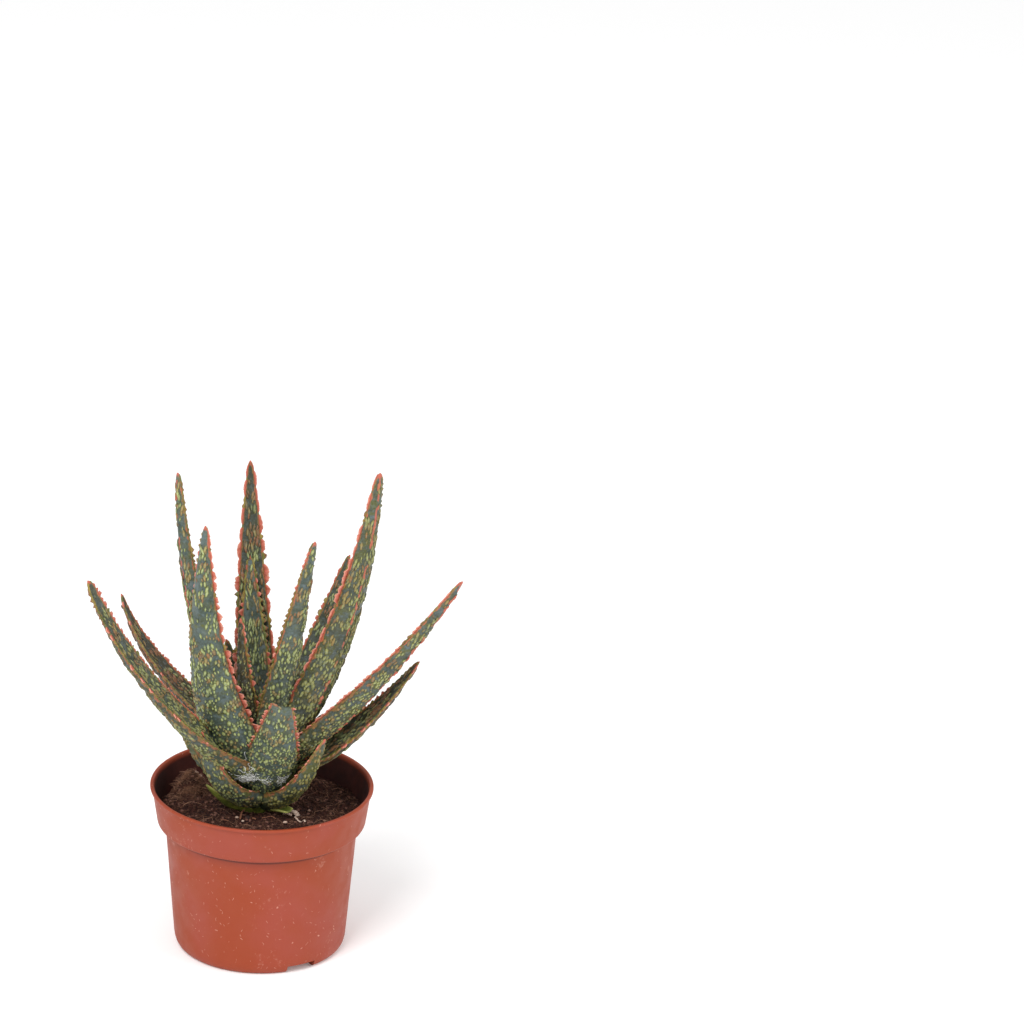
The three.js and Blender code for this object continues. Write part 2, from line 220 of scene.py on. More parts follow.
def settle(piece):
    """Turns the result of the modifiers into the piece's own mesh."""
    graph = bpy.context.evaluated_depsgraph_get()
    mesh = bpy.data.meshes.new_from_object(piece.evaluated_get(graph))
    mesh.validate(clean_customdata=False)
    piece.modifiers.clear()
    piece.data = mesh
    return piece


def cut(piece, tool):
    """Cuts a closed tool out of a closed piece."""
    modifier = piece.modifiers.new("cut", "BOOLEAN")
    modifier.operation = "DIFFERENCE"
    modifier.solver = "MANIFOLD"
    modifier.object = tool


def drop(*things):
    """Deletes helper objects."""
    for thing in things:
        bpy.data.objects.remove(thing)


def wear(piece, material):
    """Gives a piece one material in place of any other."""
    piece.data.materials.clear()
    piece.data.materials.append(material)


def triangles(piece):
    """The number of triangles in a piece."""
    return sum(len(face.vertices) - 2 for face in piece.data.polygons)


print("helpers ready")

# %% [markdown]
# The stage is a pale floor under an even white sky, with two large soft lights: one high in front
# and one at the side. Soft light keeps the shadows under the leaves open, as in a product picture.

# %% Floor and light
FLOOR_SIZE = 9.0
SKY_STRENGTH = 0.72
WHITE = (1.0, 1.0, 1.0, 1.0)
PAPER = colour(250, 250, 250)
PAPER_GLOW = 0.1
AIM = Vector((0, 0, 0.1))
LIGHTS = {
    "key": {"place": (-0.7, -1.5, 2.1), "size": 1.1, "power": 42.0},
    "side": {"place": (1.7, -0.7, 1.1), "size": 1.2, "power": 12.0},
}

scene = bpy.context.scene
scene.view_settings.view_transform = "Standard"
world = bpy.data.worlds.new("sky")
world.use_nodes = True
sky = world.node_tree.nodes["Background"]
sky.inputs["Color"].default_value = WHITE
sky.inputs["Strength"].default_value = SKY_STRENGTH
scene.world = world

half = FLOOR_SIZE / 2 / MM
corners = [(-half, -half, 0), (half, -half, 0), (half, half, 0), (-half, half, 0)]
floor = new_object("floor", corners, [(0, 1, 2, 3)])
paper = new_material("pale_paper", Roughness=0.9, Base_Color=PAPER, Emission_Color=WHITE,
                     Emission_Strength=PAPER_GLOW)[0]
wear(floor, paper)

for name, light in LIGHTS.items():
    lamp = bpy.data.objects.new(name, bpy.data.lights.new(name, "AREA"))
    lamp.data.size = light["size"]
    lamp.data.energy = light["power"]
    lamp.location = light["place"]
    lamp.rotation_euler = (AIM - lamp.location).to_track_quat("-Z", "Y").to_euler()
    scene.collection.objects.link(lamp)
print("lights:", ", ".join(LIGHTS))

# %% [markdown]
# The leaves repeat the sizes of the solids. heading and rise turn from the stem to the tip, foot is
# the height on the stem, and roll turns the blade on its own line. The order runs from the youngest
# leaf inside to the oldest outside, because every leaf gives way to the ones inside it.

# %% Leaf sizes in millimetres and degrees
LEAF_COLUMNS = ("heading", "rise", "ease", "length", "foot", "width", "thickness", "roll", "end")
LEAF_ROWS = {
    "leaf_heart_front": ((242, 238), (64, 90), 1.1, 74, 101, 14, 5, 0),
    "leaf_heart_back": ((104, 106), (66, 78), 1.1, 90, 98, 24, 5, 20),
    "leaf_crown_back": ((103, 105), (58, 85), 2.0, 138, 96, 27, 6, 8),
    "leaf_crown_right": ((298, 302), (70, 73), 1.0, 134, 95, 24, 7, -8),
    "leaf_side_left": ((186, 187), (63, 88), 1.2, 151, 93, 21, 6, -34),
    "leaf_back_right": ((38, 38), (60, 69), 1.6, 102, 93, 23, 6, -4),
    "leaf_side_right": ((330, 324), (58, 84), 1.0, 173, 91, 30, 7, 20),
    "leaf_crown_left": ((230, 204), (51, 94), 1.6, 145, 84, 36, 8, -34),
    "leaf_back_left": ((154, 163), (25, 87), 0.5, 100, 94, 23, 6, 0),
    "leaf_back_inner": ((126, 122), (52, 72), 1.0, 57, 92, 20, 6, 0),
    "leaf_back_middle": ((76, 80), (46, 70), 1.2, 62, 90, 23, 6, 0),
    "leaf_outer_right": ((340, 339), (42, 59), 1.1, 145, 89, 25, 7, 16),
    "leaf_outer_left": ((232, 208), (38, 73), 0.7, 163, 84, 28, 7, 26),
    "leaf_front_short": ((281, 282), (47, 65), 0.8, 88, 81, 35, 8, 16),
    "leaf_low_right": ((347, 350), (27, 58), 1.4, 96, 85, 23, 5, -30),
    "leaf_old_right": ((8, 8), (46, 52), 1.0, 34, 90, 15, 4, 0),
    "leaf_low_back": ((98, 96), (22, 60), 1.4, 66, 83, 23, 7, 0),
    "leaf_low_back_left": ((140, 142), (14, 58), 1.4, 48, 79, 20, 6, 0),
    "leaf_low_back_right": ((60, 58), (16, 58), 1.4, 46, 80, 20, 6, 0),
    "leaf_foot_left": ((229, 226), (17, 80), 1.4, 59, 75, 28, 7, 6),
    "leaf_foot_right": ((313, 317), (22, 68), 1.8, 58, 74, 25, 7, -10),
    "leaf_foot_side": ((197, 196), (12, 66), 2.2, 52, 78, 18, 5, 0),
    "cut_leaf_blade": ((214, 168), (24, 48), 1.0, 25, 68.5, 13, 2.4, -50),
    "leaf_stub_front": ((258, 256), (60, 50), 1.0, 9, 70, 9, 2.6, 0, 6),
    "leaf_stub_right": ((308, 332), (14, 4), 1.0, 12, 71, 10, 3, 0, 5),
}
LEAF_SIZES = {name: dict(zip(LEAF_COLUMNS, row)) for name, row in LEAF_ROWS.items()}
print("leaves and stubs:", len(LEAF_SIZES), "longest:", max(row[3] for row in LEAF_ROWS.values()), "mm")

# %% [markdown]
# Each leaf also has its own look. crest holds the height of the coral lobes on its two margins in
# millimetres, first the one on the counterclockwise side as seen from above the stem. coral is the
# share of red ones on each margin, and lobe is the length of a high lobe. spot is the width of a
# spot and stretch draws it out lengthwise. warm turns the spots from lime to tan and orange, dark
# darkens the skin at the foot and at the tip, partly older tissue and partly painted shade where other
# leaves shadow it, olive greens it, and keel paints the ridge below.
# ragged_tip says how high the crest still stands near the tip, and blunt is the extra width that the
# blade keeps until its last few millimetres. twist turns the blade on towards its tip, and dried_off is
# the length that has dried off the tip.

# %% Leaf looks
PLAIN_LOOK = dict(crest=(1.2, 1.2), coral=(0.2, 0.2), lobe=4.5, spot=1.15, stretch=1.0, warm=0.1,
                  dark=(0.1, 0.0), olive=0.1, keel=0.0, ragged_tip=0.6, blunt=0.6, twist=0, dried_off=0)
LEAF_LOOKS = {
    "leaf_heart_front": dict(crest=(0.6, 0.6), coral=(0.6, 1.0), stretch=0.8, dark=(0.9, 0.85), warm=-0.1,
                             olive=0.4, spot=0.9),
    "leaf_heart_back": dict(crest=(0.9, 0.9), coral=(0.3, 0.4), stretch=1.5, warm=-0.05, dark=(0.4, 0.0),
                            spot=0.95),
    "leaf_crown_back": dict(crest=(2.0, 2.1), coral=(0.7, 0.75), lobe=7.0, stretch=1.4, warm=0.3,
                            dark=(0.5, 0.55), ragged_tip=0.5),
    "leaf_crown_right": dict(crest=(1.2, 1.5), coral=(0.05, 0.15), warm=0.05, olive=0.2, stretch=1.15,
                             dark=(0.35, 0.0), blunt=1.4),
    "leaf_side_left": dict(crest=(1.3, 1.2), coral=(0.1, 0.12), stretch=1.3, warm=0.05, keel=0.8,
                           blunt=1.8),
    "leaf_back_right": dict(crest=(2.0, 1.6), coral=(0.5, 0.5), lobe=3.2, warm=0.2, dark=(0.6, 0.4)),
    "leaf_side_right": dict(crest=(0.9, 2.1), coral=(0.1, 0.75), lobe=7.0, stretch=1.3, olive=0.55,
                            keel=0.8, dark=(0.6, 0.2), blunt=2.2),
    "leaf_crown_left": dict(crest=(2.5, 1.1), coral=(0.85, 0.25), lobe=5.0, spot=1.2, ragged_tip=0.8,
                            blunt=0.4),
    "leaf_back_left": dict(crest=(1.0, 2.1), coral=(0.3, 0.85), lobe=2.4, stretch=1.4, warm=0.55,
                           dark=(0.9, 0.85), spot=0.9),
    "leaf_outer_right": dict(crest=(2.5, 2.2), coral=(0.8, 0.7), lobe=5.0, warm=0.2, keel=1.0,
                             dark=(0.4, 0.1), olive=0.4, blunt=2.2),
    "leaf_outer_left": dict(crest=(1.2, 2.0), coral=(0.15, 0.8), lobe=3.0, stretch=1.2, warm=0.2, olive=0.4,
                            dark=(0.3, 0.5), ragged_tip=1.1, blunt=2.4, twist=32),
    "leaf_front_short": dict(crest=(1.3, 1.3), coral=(0.8, 0.9), stretch=0.9, ragged_tip=1.0, blunt=3.5,
                             dried_off=11),
    "leaf_low_right": dict(crest=(1.4, 1.4), coral=(0.4, 0.3), stretch=1.5, warm=0.45, dark=(0.85, 0.6),
                           keel=0.3),
    "leaf_old_right": dict(crest=(0.8, 0.8), warm=0.5, dark=(0.6, 0.5), olive=0.8),
    "leaf_foot_left": dict(crest=(1.0, 0.8), coral=(0.5, 0.4), warm=0.15, olive=0.4, stretch=0.9,
                           dark=(0.25, 0.1), blunt=3.0),
    "leaf_foot_right": dict(crest=(1.0, 1.0), coral=(0.6, 0.4), warm=0.05, olive=0.9, spot=1.2, stretch=0.9,
                            dark=(0.45, 0.15)),
    "leaf_foot_side": dict(crest=(1.0, 1.0), warm=0.2, olive=0.6),
}


def look_of(name):
    """The look of a leaf, filled up from the plain look."""
    return {**PLAIN_LOOK, **LEAF_LOOKS.get(name, {})}


print("leaves with a look of their own:", len(LEAF_LOOKS))

# %% [markdown]
# A leaf is a loft along its spine: a curve whose heading and rise change smoothly, with a short
# sheath before it that stands up against the stem. The spine is stepped out with the direction of
# each step's middle, which keeps the bend true with few steps.

# %% Spine of a leaf
SHEATH_LENGTH = 9.0
SHEATH_SHARE = 0.3
SHEATH_TURN = 42
SHEATH_RISE = 80
STEM_RADIUS = 7.5
STEM_CLEARANCE = 0.5
STEM_FOOT = 80
STEM_TAPER = 0.12
FOOT_REACH = (4, 8)


def heading_and_rise(heading, rise):
    """Unit vectors ahead and upward for headings and rises in degrees."""
    h, r = np.radians(heading), np.radians(rise)
    ahead = np.stack([np.cos(h) * np.cos(r), np.sin(h) * np.cos(r), np.sin(r)], -1)
    upward = np.stack([-np.cos(h) * np.sin(r), -np.sin(h) * np.sin(r), np.cos(r)], -1)
    return ahead, upward


def spine(leaf, steps, sheath_steps):
    """Points, directions ahead and upward, and the share of the blade and of the sheath passed."""
    (h0, h1), (r0, r1) = leaf["heading"], leaf["rise"]
    along = np.linspace(0, 1, steps + 1)
    middle = (along[1:] + along[:-1]) / 2
    rise_at = lambda s: r1 + (r0 - r1) * (1 - s) ** leaf["ease"]
    heading_at = lambda s: h0 + (h1 - h0) * s
    ahead, upward = heading_and_rise(heading_at(along), rise_at(along))
    stepped = heading_and_rise(heading_at(middle), rise_at(middle))[0] * leaf["length"] / steps
    reach = np.clip(STEM_RADIUS + STEM_CLEARANCE - (leaf["foot"] - STEM_FOOT) * STEM_TAPER, *FOOT_REACH)
    turn = math.radians(h0)
    start = np.array([reach * math.cos(turn), reach * math.sin(turn), leaf["foot"]])
    points = start + np.vstack([np.zeros(3), np.cumsum(stepped, 0)])

    sheath = np.linspace(1, 0, sheath_steps + 1)[:-1]
    steep_rise = min(r0 + SHEATH_TURN, SHEATH_RISE)
    sheath_rise = r0 + (steep_rise - r0) * sheath
    back_ahead, back_upward = heading_and_rise(np.full(sheath_steps, float(h0)), sheath_rise)
    length = min(SHEATH_LENGTH, leaf["length"] * SHEATH_SHARE)
    back = start - np.cumsum(back_ahead[::-1], 0)[::-1] * length / sheath_steps
    zeros = np.zeros(sheath_steps)
    return {
        "points": np.vstack([back, points]),
        "ahead": np.vstack([back_ahead, ahead]),
        "upward": np.vstack([back_upward, upward]),
        "along": np.concatenate([zeros, along]),
        "sheath": np.concatenate([sheath, np.zeros(steps + 1)]),
        "passed": np.concatenate([-length * sheath, along * leaf["length"]]),
    }


print("crown leaf ends at", spine(LEAF_SIZES["leaf_crown_back"], 60, 8)["points"][-1].round(1))

# %% [markdown]
# The cross-section is a crescent. It clasps the stem at the foot, opens into a shallow channel
# further out, and turns from a rounded belly into a keel. Its points are numbered from one margin
# over the upper side to the other, and back over the lower side, with one point on each margin's
# edge, so the edge is round.

# %% Section of a leaf
TIP_WIDTH = 0.4
TIP_THICKNESS = 0.5
TAPER = 0.82
BLADE_THINNING = 0.7
BLUNT_END = 5.0
SHEATH_NARROWING = 0.15
SHEATH_THINNING = 0.5
EDGE_THICKNESS = 1.0
EDGE_ROUNDING = 0.35
EDGE_SHARE = 6
KEEL = 0.7
CLASP = 64
CLASP_FADE = 4
CHANNEL = 26
ROLL_REACH = 0.33


def blend(first, second, share):
    """A number between two others."""
    return first + (second - first) * share


def leaf_grid(leaf, line, across, grow=0.0):
    """Rings of points round a leaf: upper side, margin, lower side, margin."""
    left, sheath = 1 - line["along"], line["sheath"]
    width = blend(leaf.get("end", TIP_WIDTH), leaf["width"], left**TAPER) * (1 - SHEATH_NARROWING * sheath)
    rounded_end = np.sqrt(np.clip(left * leaf["length"] / BLUNT_END, 0, 1))
    width += leaf.get("blunt", 0) * (1 - left**TAPER) * rounded_end
    width += 2 * grow
    thick = blend(TIP_THICKNESS, leaf["thickness"], left**BLADE_THINNING) * (1 - SHEATH_THINNING * sheath)
    edge = np.radians(blend(CHANNEL, CLASP, left**CLASP_FADE))
    radius = width / 2 / edge
    roll = math.radians(leaf["roll"]) * np.minimum(1, line["along"] / ROLL_REACH)
    roll += math.radians(leaf.get("twist", 0)) * line["along"] ** 2
    side = np.cross(line["ahead"], line["upward"])
    out = side * np.cos(roll)[:, None] + line["upward"] * np.sin(roll)[:, None]
    over = np.cross(out, line["ahead"])

    share = np.linspace(-1, 1, across + 1)
    curved = np.sqrt(np.maximum(0, 1 - share**2))
    keel = (line["along"] * KEEL)[:, None]
    profile = curved * (1 - keel) + (1 - np.abs(share)) * keel
    rim = np.minimum(EDGE_THICKNESS, thick)[:, None]
    depth = rim + (thick[:, None] - rim) * profile
    upper = np.broadcast_to(thick[:, None] / 2 + grow, depth.shape)
    lower = thick[:, None] / 2 - depth - grow

    def skin(s, d, bulge=0.0):
        angle = s * edge[:, None]
        x = np.sin(angle) * (radius[:, None] - d) + np.cos(angle) * bulge
        y = (1 - np.cos(angle)) * radius[:, None] + np.cos(angle) * d + np.sin(angle) * bulge
        return line["points"][:, None] + out[:, None] * x[..., None] + over[:, None] * y[..., None]

    middle = (upper + lower)[:, :1] / 2
    ends = np.ones((1, 1))
    rounding = np.minimum(EDGE_ROUNDING, width / EDGE_SHARE)[:, None]
    rings = [
        skin(share[None], upper),
        skin(ends, middle, rounding),
        skin(share[None, ::-1], lower[:, ::-1]),
        skin(-ends, middle, -rounding),
    ]
    reach = (width / 2)[:, None] * share[None]
    return np.concatenate(rings, 1), reach


demo = leaf_grid(LEAF_SIZES["leaf_crown_left"], spine(LEAF_SIZES["leaf_crown_left"], 10, 2), 6)[0]
print("one small leaf has rings and points:", demo.shape[:2])

# %% [markdown]
# The skin's pattern needs to know where each point lies: how far along and across the leaf it is,
# how far from the margin and the tip, which way the leaf runs and which side it is on. These go into
# attributes, because they survive cutting and because both shape nodes and the shader can read them.

# %% Closed leaf mesh with its attributes
GRAIN = 0.9
# Steps in the pattern's place, so that no side of any leaf looks like another
OTHER_SIDE = 600.0
SEED_STEP = 73.1
FAR = 30.0
BARE_FOOT = 7.0
ACROSS_SHARE = 0.6
# The least number of steps along the blade, along the sheath and across
LEAST_STEPS = (12, 3, 6)


def quads_between(index):
    """Faces between closed rings of points, given the numbers of the points."""
    beside = np.roll(index, -1, 1)
    return np.stack([index[:-1], beside[:-1], beside[1:], index[1:]], -1).reshape(-1, 4).tolist()


def ring_faces(rings, count):
    """Quads between rings, and caps whose halves are joined across."""
    faces = quads_between(np.arange(rings * count).reshape(rings, count))
    n = count // 2 - 2
    for start, flip in ((0, True), ((rings - 1) * count, False)):
        caps = [[j, j + 1, 2 * n + 1 - j, 2 * n + 2 - j] for j in range(n)]
        caps += [[n, n + 1, n + 2], [0, 2 * n + 2, 2 * n + 3]]
        faces += [[start + k for k in (reversed(face) if flip else face)] for face in caps]
    return faces


def make_leaf(name, step=GRAIN, grow=0.0):
    """A leaf as a closed mesh with the attributes that its skin reads. A grown one has no spots."""
    look, leaf = look_of(name), LEAF_SIZES[name]
    leaf = {**leaf, "blunt": 0 if "end" in leaf else look["blunt"], "twist": look["twist"]}
    steps = np.round([leaf["length"] / step, SHEATH_LENGTH / step, leaf["width"] * ACROSS_SHARE / step])
    blade_steps, sheath_steps, across = np.maximum(steps * (1, 1, 2), LEAST_STEPS).astype(int).tolist()
    line = spine(leaf, blade_steps, sheath_steps)
    kept = line["passed"] <= leaf["length"] - look["dried_off"]
    line = {key: values[kept] for key, values in line.items()}
    if grow:
        line["points"][0] -= line["ahead"][0] * grow
        line["points"][-1] += line["ahead"][-1] * grow
    grid, reach = leaf_grid(leaf, line, across, grow)
    rings, count = grid.shape[:2]
    both = np.concatenate([reach, reach[:, -1:], reach[:, ::-1], reach[:, :1]], 1)
    lower = np.concatenate([np.zeros(across + 1), [0.5], np.ones(across + 1), [0.5]])[None].repeat(rings, 0)
    passed = line["passed"][:, None].repeat(count, 1)
    share = np.clip(passed / leaf["length"], 0, 1)
    seed = SEED_STEP * (1 + list(LEAF_SIZES).index(name))
    skin = np.stack([both + OTHER_SIDE * lower + seed, passed / look["stretch"] + seed, lower], -1)
    dark_foot, dark_tip = look["dark"]
    even = np.ones(rings * count)
    made = new_object(
        name, grid.reshape(-1, 3), ring_faces(rings, count),
        skin=skin.reshape(-1, 3), way=line["ahead"][:, None].repeat(count, 1).reshape(-1, 3),
        margin=(reach[:, -1:] - np.abs(both)).ravel(), tip=(leaf["length"] - passed).ravel(),
        foot=passed.ravel(), ridge=np.where(lower == 1, np.abs(both), FAR).ravel(),
        warm=even * look["warm"], olive=even * look["olive"], keel=even * look["keel"],
        dark=blend(dark_foot, dark_tip, share).ravel(),
        spots=(np.clip(passed / BARE_FOOT, 0, 1) * (0 if grow else 1)).ravel(),
    )
    return made, line, grid, across


trial = make_leaf("leaf_crown_left", 3.0)[0]
print("coarse leaf:", triangles(trial), "triangles, width and depth", [round(v, 3) for v in trial.dimensions])
drop(trial)

# %% [markdown]
# Each margin wears a crest: a thin ribbon of tissue that swells into coral lobes where the sun has
# reached it, and into small olive or brown humps elsewhere. Its outline is worked out first. Humps
# and lobes follow one another with small gaps, each of them is round, and they lean to the tip.

# %% Outline of a crest
CREST_STEP = 0.35
CREST_FOOT = 4.0
CORAL_FROM = 12.0
HUMP_LENGTH = 2.8
HUMP_HEIGHT = 2.0
TALL = 1.7
MARGIN_SEEDS = 100
# The least and the largest of what is drawn at random
SPREAD = (0.6, 1.4)
TOPS = (0.45, 1.1)
SHOULDER = (1.4, 6.0)
LOBE_PITCH = (0.85, 1.2)
HUMP_PITCH = (0.95, 1.35)
FRAY = (0.72, 1.0)
RED = (0.7, 1.0)
GREEN = (0.0, 0.4)
# The shape of a hump, the least height in millimetres, and how the crest grows from the foot and
# sinks to the tip: over a length, from a least share of its height
HUMP_SHOULDER = 1.8
ROUNDNESS = 0.8
LEAN = 1.25
SEAM = 0.12
LOW_FOOT = (14, 0.4)
TIP_SHARE = 0.3
SHARP_TIP = (6.0, 0.15)


def crest_outline(name, number, places):
    """Height in millimetres and redness of the crest at each place along one margin."""
    look, length = look_of(name), LEAF_SIZES[name]["length"]
    dice = np.random.default_rng(MARGIN_SEEDS * number + list(LEAF_SIZES).index(name))
    height, redness = np.zeros(len(places)), np.zeros(len(places))
    fray = dice.uniform(*FRAY, len(places))
    at = CREST_FOOT
    while at < length:
        red = at > CORAL_FROM and dice.random() < look["coral"][number]
        tall = red and look["crest"][number] > TALL
        size = (look["lobe"] if tall else HUMP_LENGTH) * dice.uniform(*SPREAD)
        top = (look["crest"][number] if tall else HUMP_HEIGHT) * dice.uniform(*TOPS)
        passed = np.clip((places - at) / size, 0, 1)
        shoulder = dice.uniform(*SHOULDER) if tall else HUMP_SHOULDER
        bow = (1 - np.abs(2 * passed**LEAN - 1) ** shoulder) ** ROUNDNESS
        height = np.maximum(height, top * bow * fray)
        here = (places >= at) & (places < at + size)
        redness[here] = dice.uniform(*(RED if red else GREEN))
        at += size * dice.uniform(*(LOBE_PITCH if tall else HUMP_PITCH))
    near_foot = np.clip((places - CREST_FOOT) / LOW_FOOT[0], LOW_FOOT[1], 1)
    ragged = look["ragged_tip"]
    near_tip = np.clip((length - places) / (TIP_SHARE * length), ragged, max(1, ragged))
    sharpened = np.clip((length - places) / SHARP_TIP[0], SHARP_TIP[1], 1)
    return np.maximum(height * near_foot * near_tip * sharpened, SEAM), redness


heights = crest_outline("leaf_crown_left", 0, np.arange(0, 145, CREST_STEP))[0]
print("crest of the broad leaf: highest", round(heights.max(), 2), "mm, mean", round(heights.mean(), 2))

# %% Crest as two ribbons
CREST_THICKNESS = 0.42
CREST_SUNK = 0.5
CREST_WAVE = 0.18
WAVE_PITCH = 1.9
WAVE_SHIFT = 3
CREST_END = 0.5
FULL_EDGE = 0.5
# Share of the height, share of the thickness. The points without height are sunk into the leaf
CREST_SECTION = ((0, 1.0), (0.5, 0.8), (1.0, 0.25), (1.0, -0.25), (0.5, -0.8), (0, -1.0))


def make_crest(name, line, grid, across):
    """The crests of both margins of a leaf as closed ribbons."""
    end = LEAF_SIZES[name]["length"] - look_of(name)["dried_off"] - CREST_END
    places = np.arange(CREST_FOOT, end, CREST_STEP)
    along = lambda table: np.stack([np.interp(places, line["passed"], table[:, i]) for i in range(3)], -1)
    points, faces, redness, edge = [], [], [], []
    for number, column in ((0, 2 * across + 3), (1, across + 1)):
        rim, ahead = along(grid[:, column]), along(line["ahead"])
        out = rim - along(grid[:, across // 2])
        out -= ahead * (out * ahead).sum(1, keepdims=True)
        out /= np.linalg.norm(out, axis=1, keepdims=True)
        over = np.cross(ahead, out)
        height, red = crest_outline(name, number, places)
        wave = CREST_WAVE * np.sin(places * WAVE_PITCH + WAVE_SHIFT * number) * height
        index = np.arange(len(CREST_SECTION) * len(places)).reshape(len(CREST_SECTION), -1)
        index += len(points) * len(places)
        for up, side in CREST_SECTION:
            reach = up * height if up else np.full(len(places), -CREST_SUNK)
            lift_off = side * CREST_THICKNESS + up * wave
            points.append(rim + out * reach[:, None] + over * lift_off[:, None])
            edge.append(up * np.minimum(1, height / FULL_EDGE))
            redness.append(red)
        beside = np.roll(index, -1, 0)
        quads = np.stack([index[:, :-1], index[:, 1:], beside[:, 1:], beside[:, :-1]], -1)
        faces += quads.reshape(-1, 4).tolist() + [index[:, 0].tolist(), index[::-1, -1].tolist()]
    return new_object(name + "_crest", np.concatenate(points), faces, redness=np.concatenate(redness),
                      edge=np.concatenate(edge))


demo_leaf, *demo_parts = make_leaf("leaf_crown_left", 3.0)
demo_crest = make_crest("leaf_crown_left", *demo_parts)
print("crest:", triangles(demo_crest), "triangles")
drop(demo_leaf, demo_crest)

# %% [markdown]
# The spots are blisters of pale tissue, round near the foot and drawn out further up. One blister is
# a dome with a flat skirt, and its attribute rise tells the shader how high a point lies: the skirt is
# a darker rim, partly painted shadow, and the top is paler, a painted highlight. A tree of shape nodes
# scatters them over the skin at a least distance, turns them along the leaf and joins the crest to it.

# %% One spot
SPOT_SIDES = 5
# Height, width and rise of each ring of the dome
SPOT_RINGS = ((-0.3, 1.3, 0.0), (0.25, 1.05, 0.45), (0.85, 0.66, 0.85))


def circle(count):
    """Angles evenly round a circle."""
    return np.arange(count) * 2 * math.pi / count


def ring(radius, height, angles):
    """Points round the axis."""
    return np.stack([radius * np.cos(angles), radius * np.sin(angles), np.full(len(angles), height)], -1)


def make_spot():
    """A dome, 1 long, 1 wide and 1 high."""
    rings = [ring(width / 2, height, circle(SPOT_SIDES)) for height, width, _ in SPOT_RINGS]
    points = np.concatenate([*rings, [(0, 0, 1)]])
    rises = np.append(np.repeat([rise for _, _, rise in SPOT_RINGS], SPOT_SIDES), 1.0)
    faces = quads_between(np.arange(len(points) - 1).reshape(-1, SPOT_SIDES))
    last = len(points) - 1 - SPOT_SIDES
    faces += [(last + i, last + (i + 1) % SPOT_SIDES, len(points) - 1) for i in range(SPOT_SIDES)]
    return new_object("spot", points / MM, faces, rise=rises)


spot = make_spot()
print("a spot has", triangles(spot), "triangles")

# %% Tree that swells the skin
BANDS = (0.11, 0.2, 1.0)


def zone_nodes(skin):
    """The share of spots at a place on the skin: they stand in groups that run across the leaf."""
    return ramp(noise(vector("MULTIPLY", {0: skin, 1: BANDS}), 1.0, 2.5), 0.4, 0.5)


def read(tree, name, kind="FLOAT"):
    """A named attribute in a tree of shape nodes."""
    return add(tree, "GeometryNodeInputNamedAttribute", {"Name": name}, data_type=kind).outputs[0]


swell, swell_in, swell_out = new_tree(
    "swell skin", "GeometryNodeTree",
    {"Leaf": "Geometry", "Swell": 0.0009, "Groups": 0.00025, "Ridge": 0.0005}, "Leaf", "Geometry")
swell_skin = read(swell, "skin", "FLOAT_VECTOR")
uneven = product(calc("SUBTRACT", noise(swell_skin, 0.2, 1.0), 0.5), swell_in["Swell"])
groups = product(zone_nodes(swell_skin), swell_in["Groups"])
ridge = product(ramp(read(swell, "ridge"), 1.1, 0.1), read(swell, "keel"), swell_in["Ridge"])
rise = product(total(uneven, groups, ridge), ramp(read(swell, "margin"), 0.2, 1.4),
               ramp(read(swell, "tip"), 1.0, 8.0))
normal = add(swell, "GeometryNodeInputNormal").outputs[0]
push = vector("SCALE", {0: normal, "Scale": rise})
swollen = follow("GeometryNodeSetPosition", {"Geometry": swell_in["Leaf"], "Offset": push})
swell.links.new(swollen, swell_out)
print("swell tree:", len(swell.nodes), "nodes")


# %% Tree that scatters the spots
def with_material(shapes, material):
    """Shapes that wear a material."""
    return follow("GeometryNodeSetMaterial", {"Geometry": shapes, "Material": material})


def join(first, *others):
    """Shapes joined into one."""
    whole = follow("GeometryNodeJoinGeometry", {0: first})
    for other in others:
        first.id_data.links.new(other, whole.node.inputs[0])
    return whole


def random_value(seed, low, high):
    """A random number for each point."""
    return outputs_of("FunctionNodeRandomValue", {2: low, 3: high, "Seed": seed}, data_type="FLOAT")[1]


dress, dress_in, dress_out = new_tree(
    "raised spots", "GeometryNodeTree",
    {"Leaf": "Geometry", "Spot": "Object", "Crest": "Object", "Spacing": 0.0015, "Density": 1500000.0,
     "Length": 0.0019, "Width": 0.0012, "Height": 0.0005, "Seed": 0, "Skin": "Material", "Coral": "Material"},
    "Leaf", "Geometry")
zone = zone_nodes(read(dress, "skin", "FLOAT_VECTOR"))
foot_share = calc("DIVIDE", read(dress, "foot"), total(read(dress, "foot"), read(dress, "tip")))
often = calc("SUBTRACT", zone, ramp(foot_share, 0.15, 0.9, -0.3, 0.55))
often = product(ramp(often, 0.0, 0.5, 0.03, 0.72), read(dress, "spots"),
                ramp(read(dress, "margin"), 0.4, 1.0), ramp(read(dress, "tip"), 2.0, 7.0))
seeds = outputs_of("GeometryNodeDistributePointsOnFaces", {
    "Mesh": dress_in["Leaf"], "Distance Min": dress_in["Spacing"], "Density Max": dress_in["Density"],
    "Density Factor": often, "Seed": dress_in["Seed"]}, distribute_method="POISSON")


def spot_chance(low, high, offset):
    """A random number for each spot."""
    return random_value(total(dress_in["Seed"], offset), low, high)


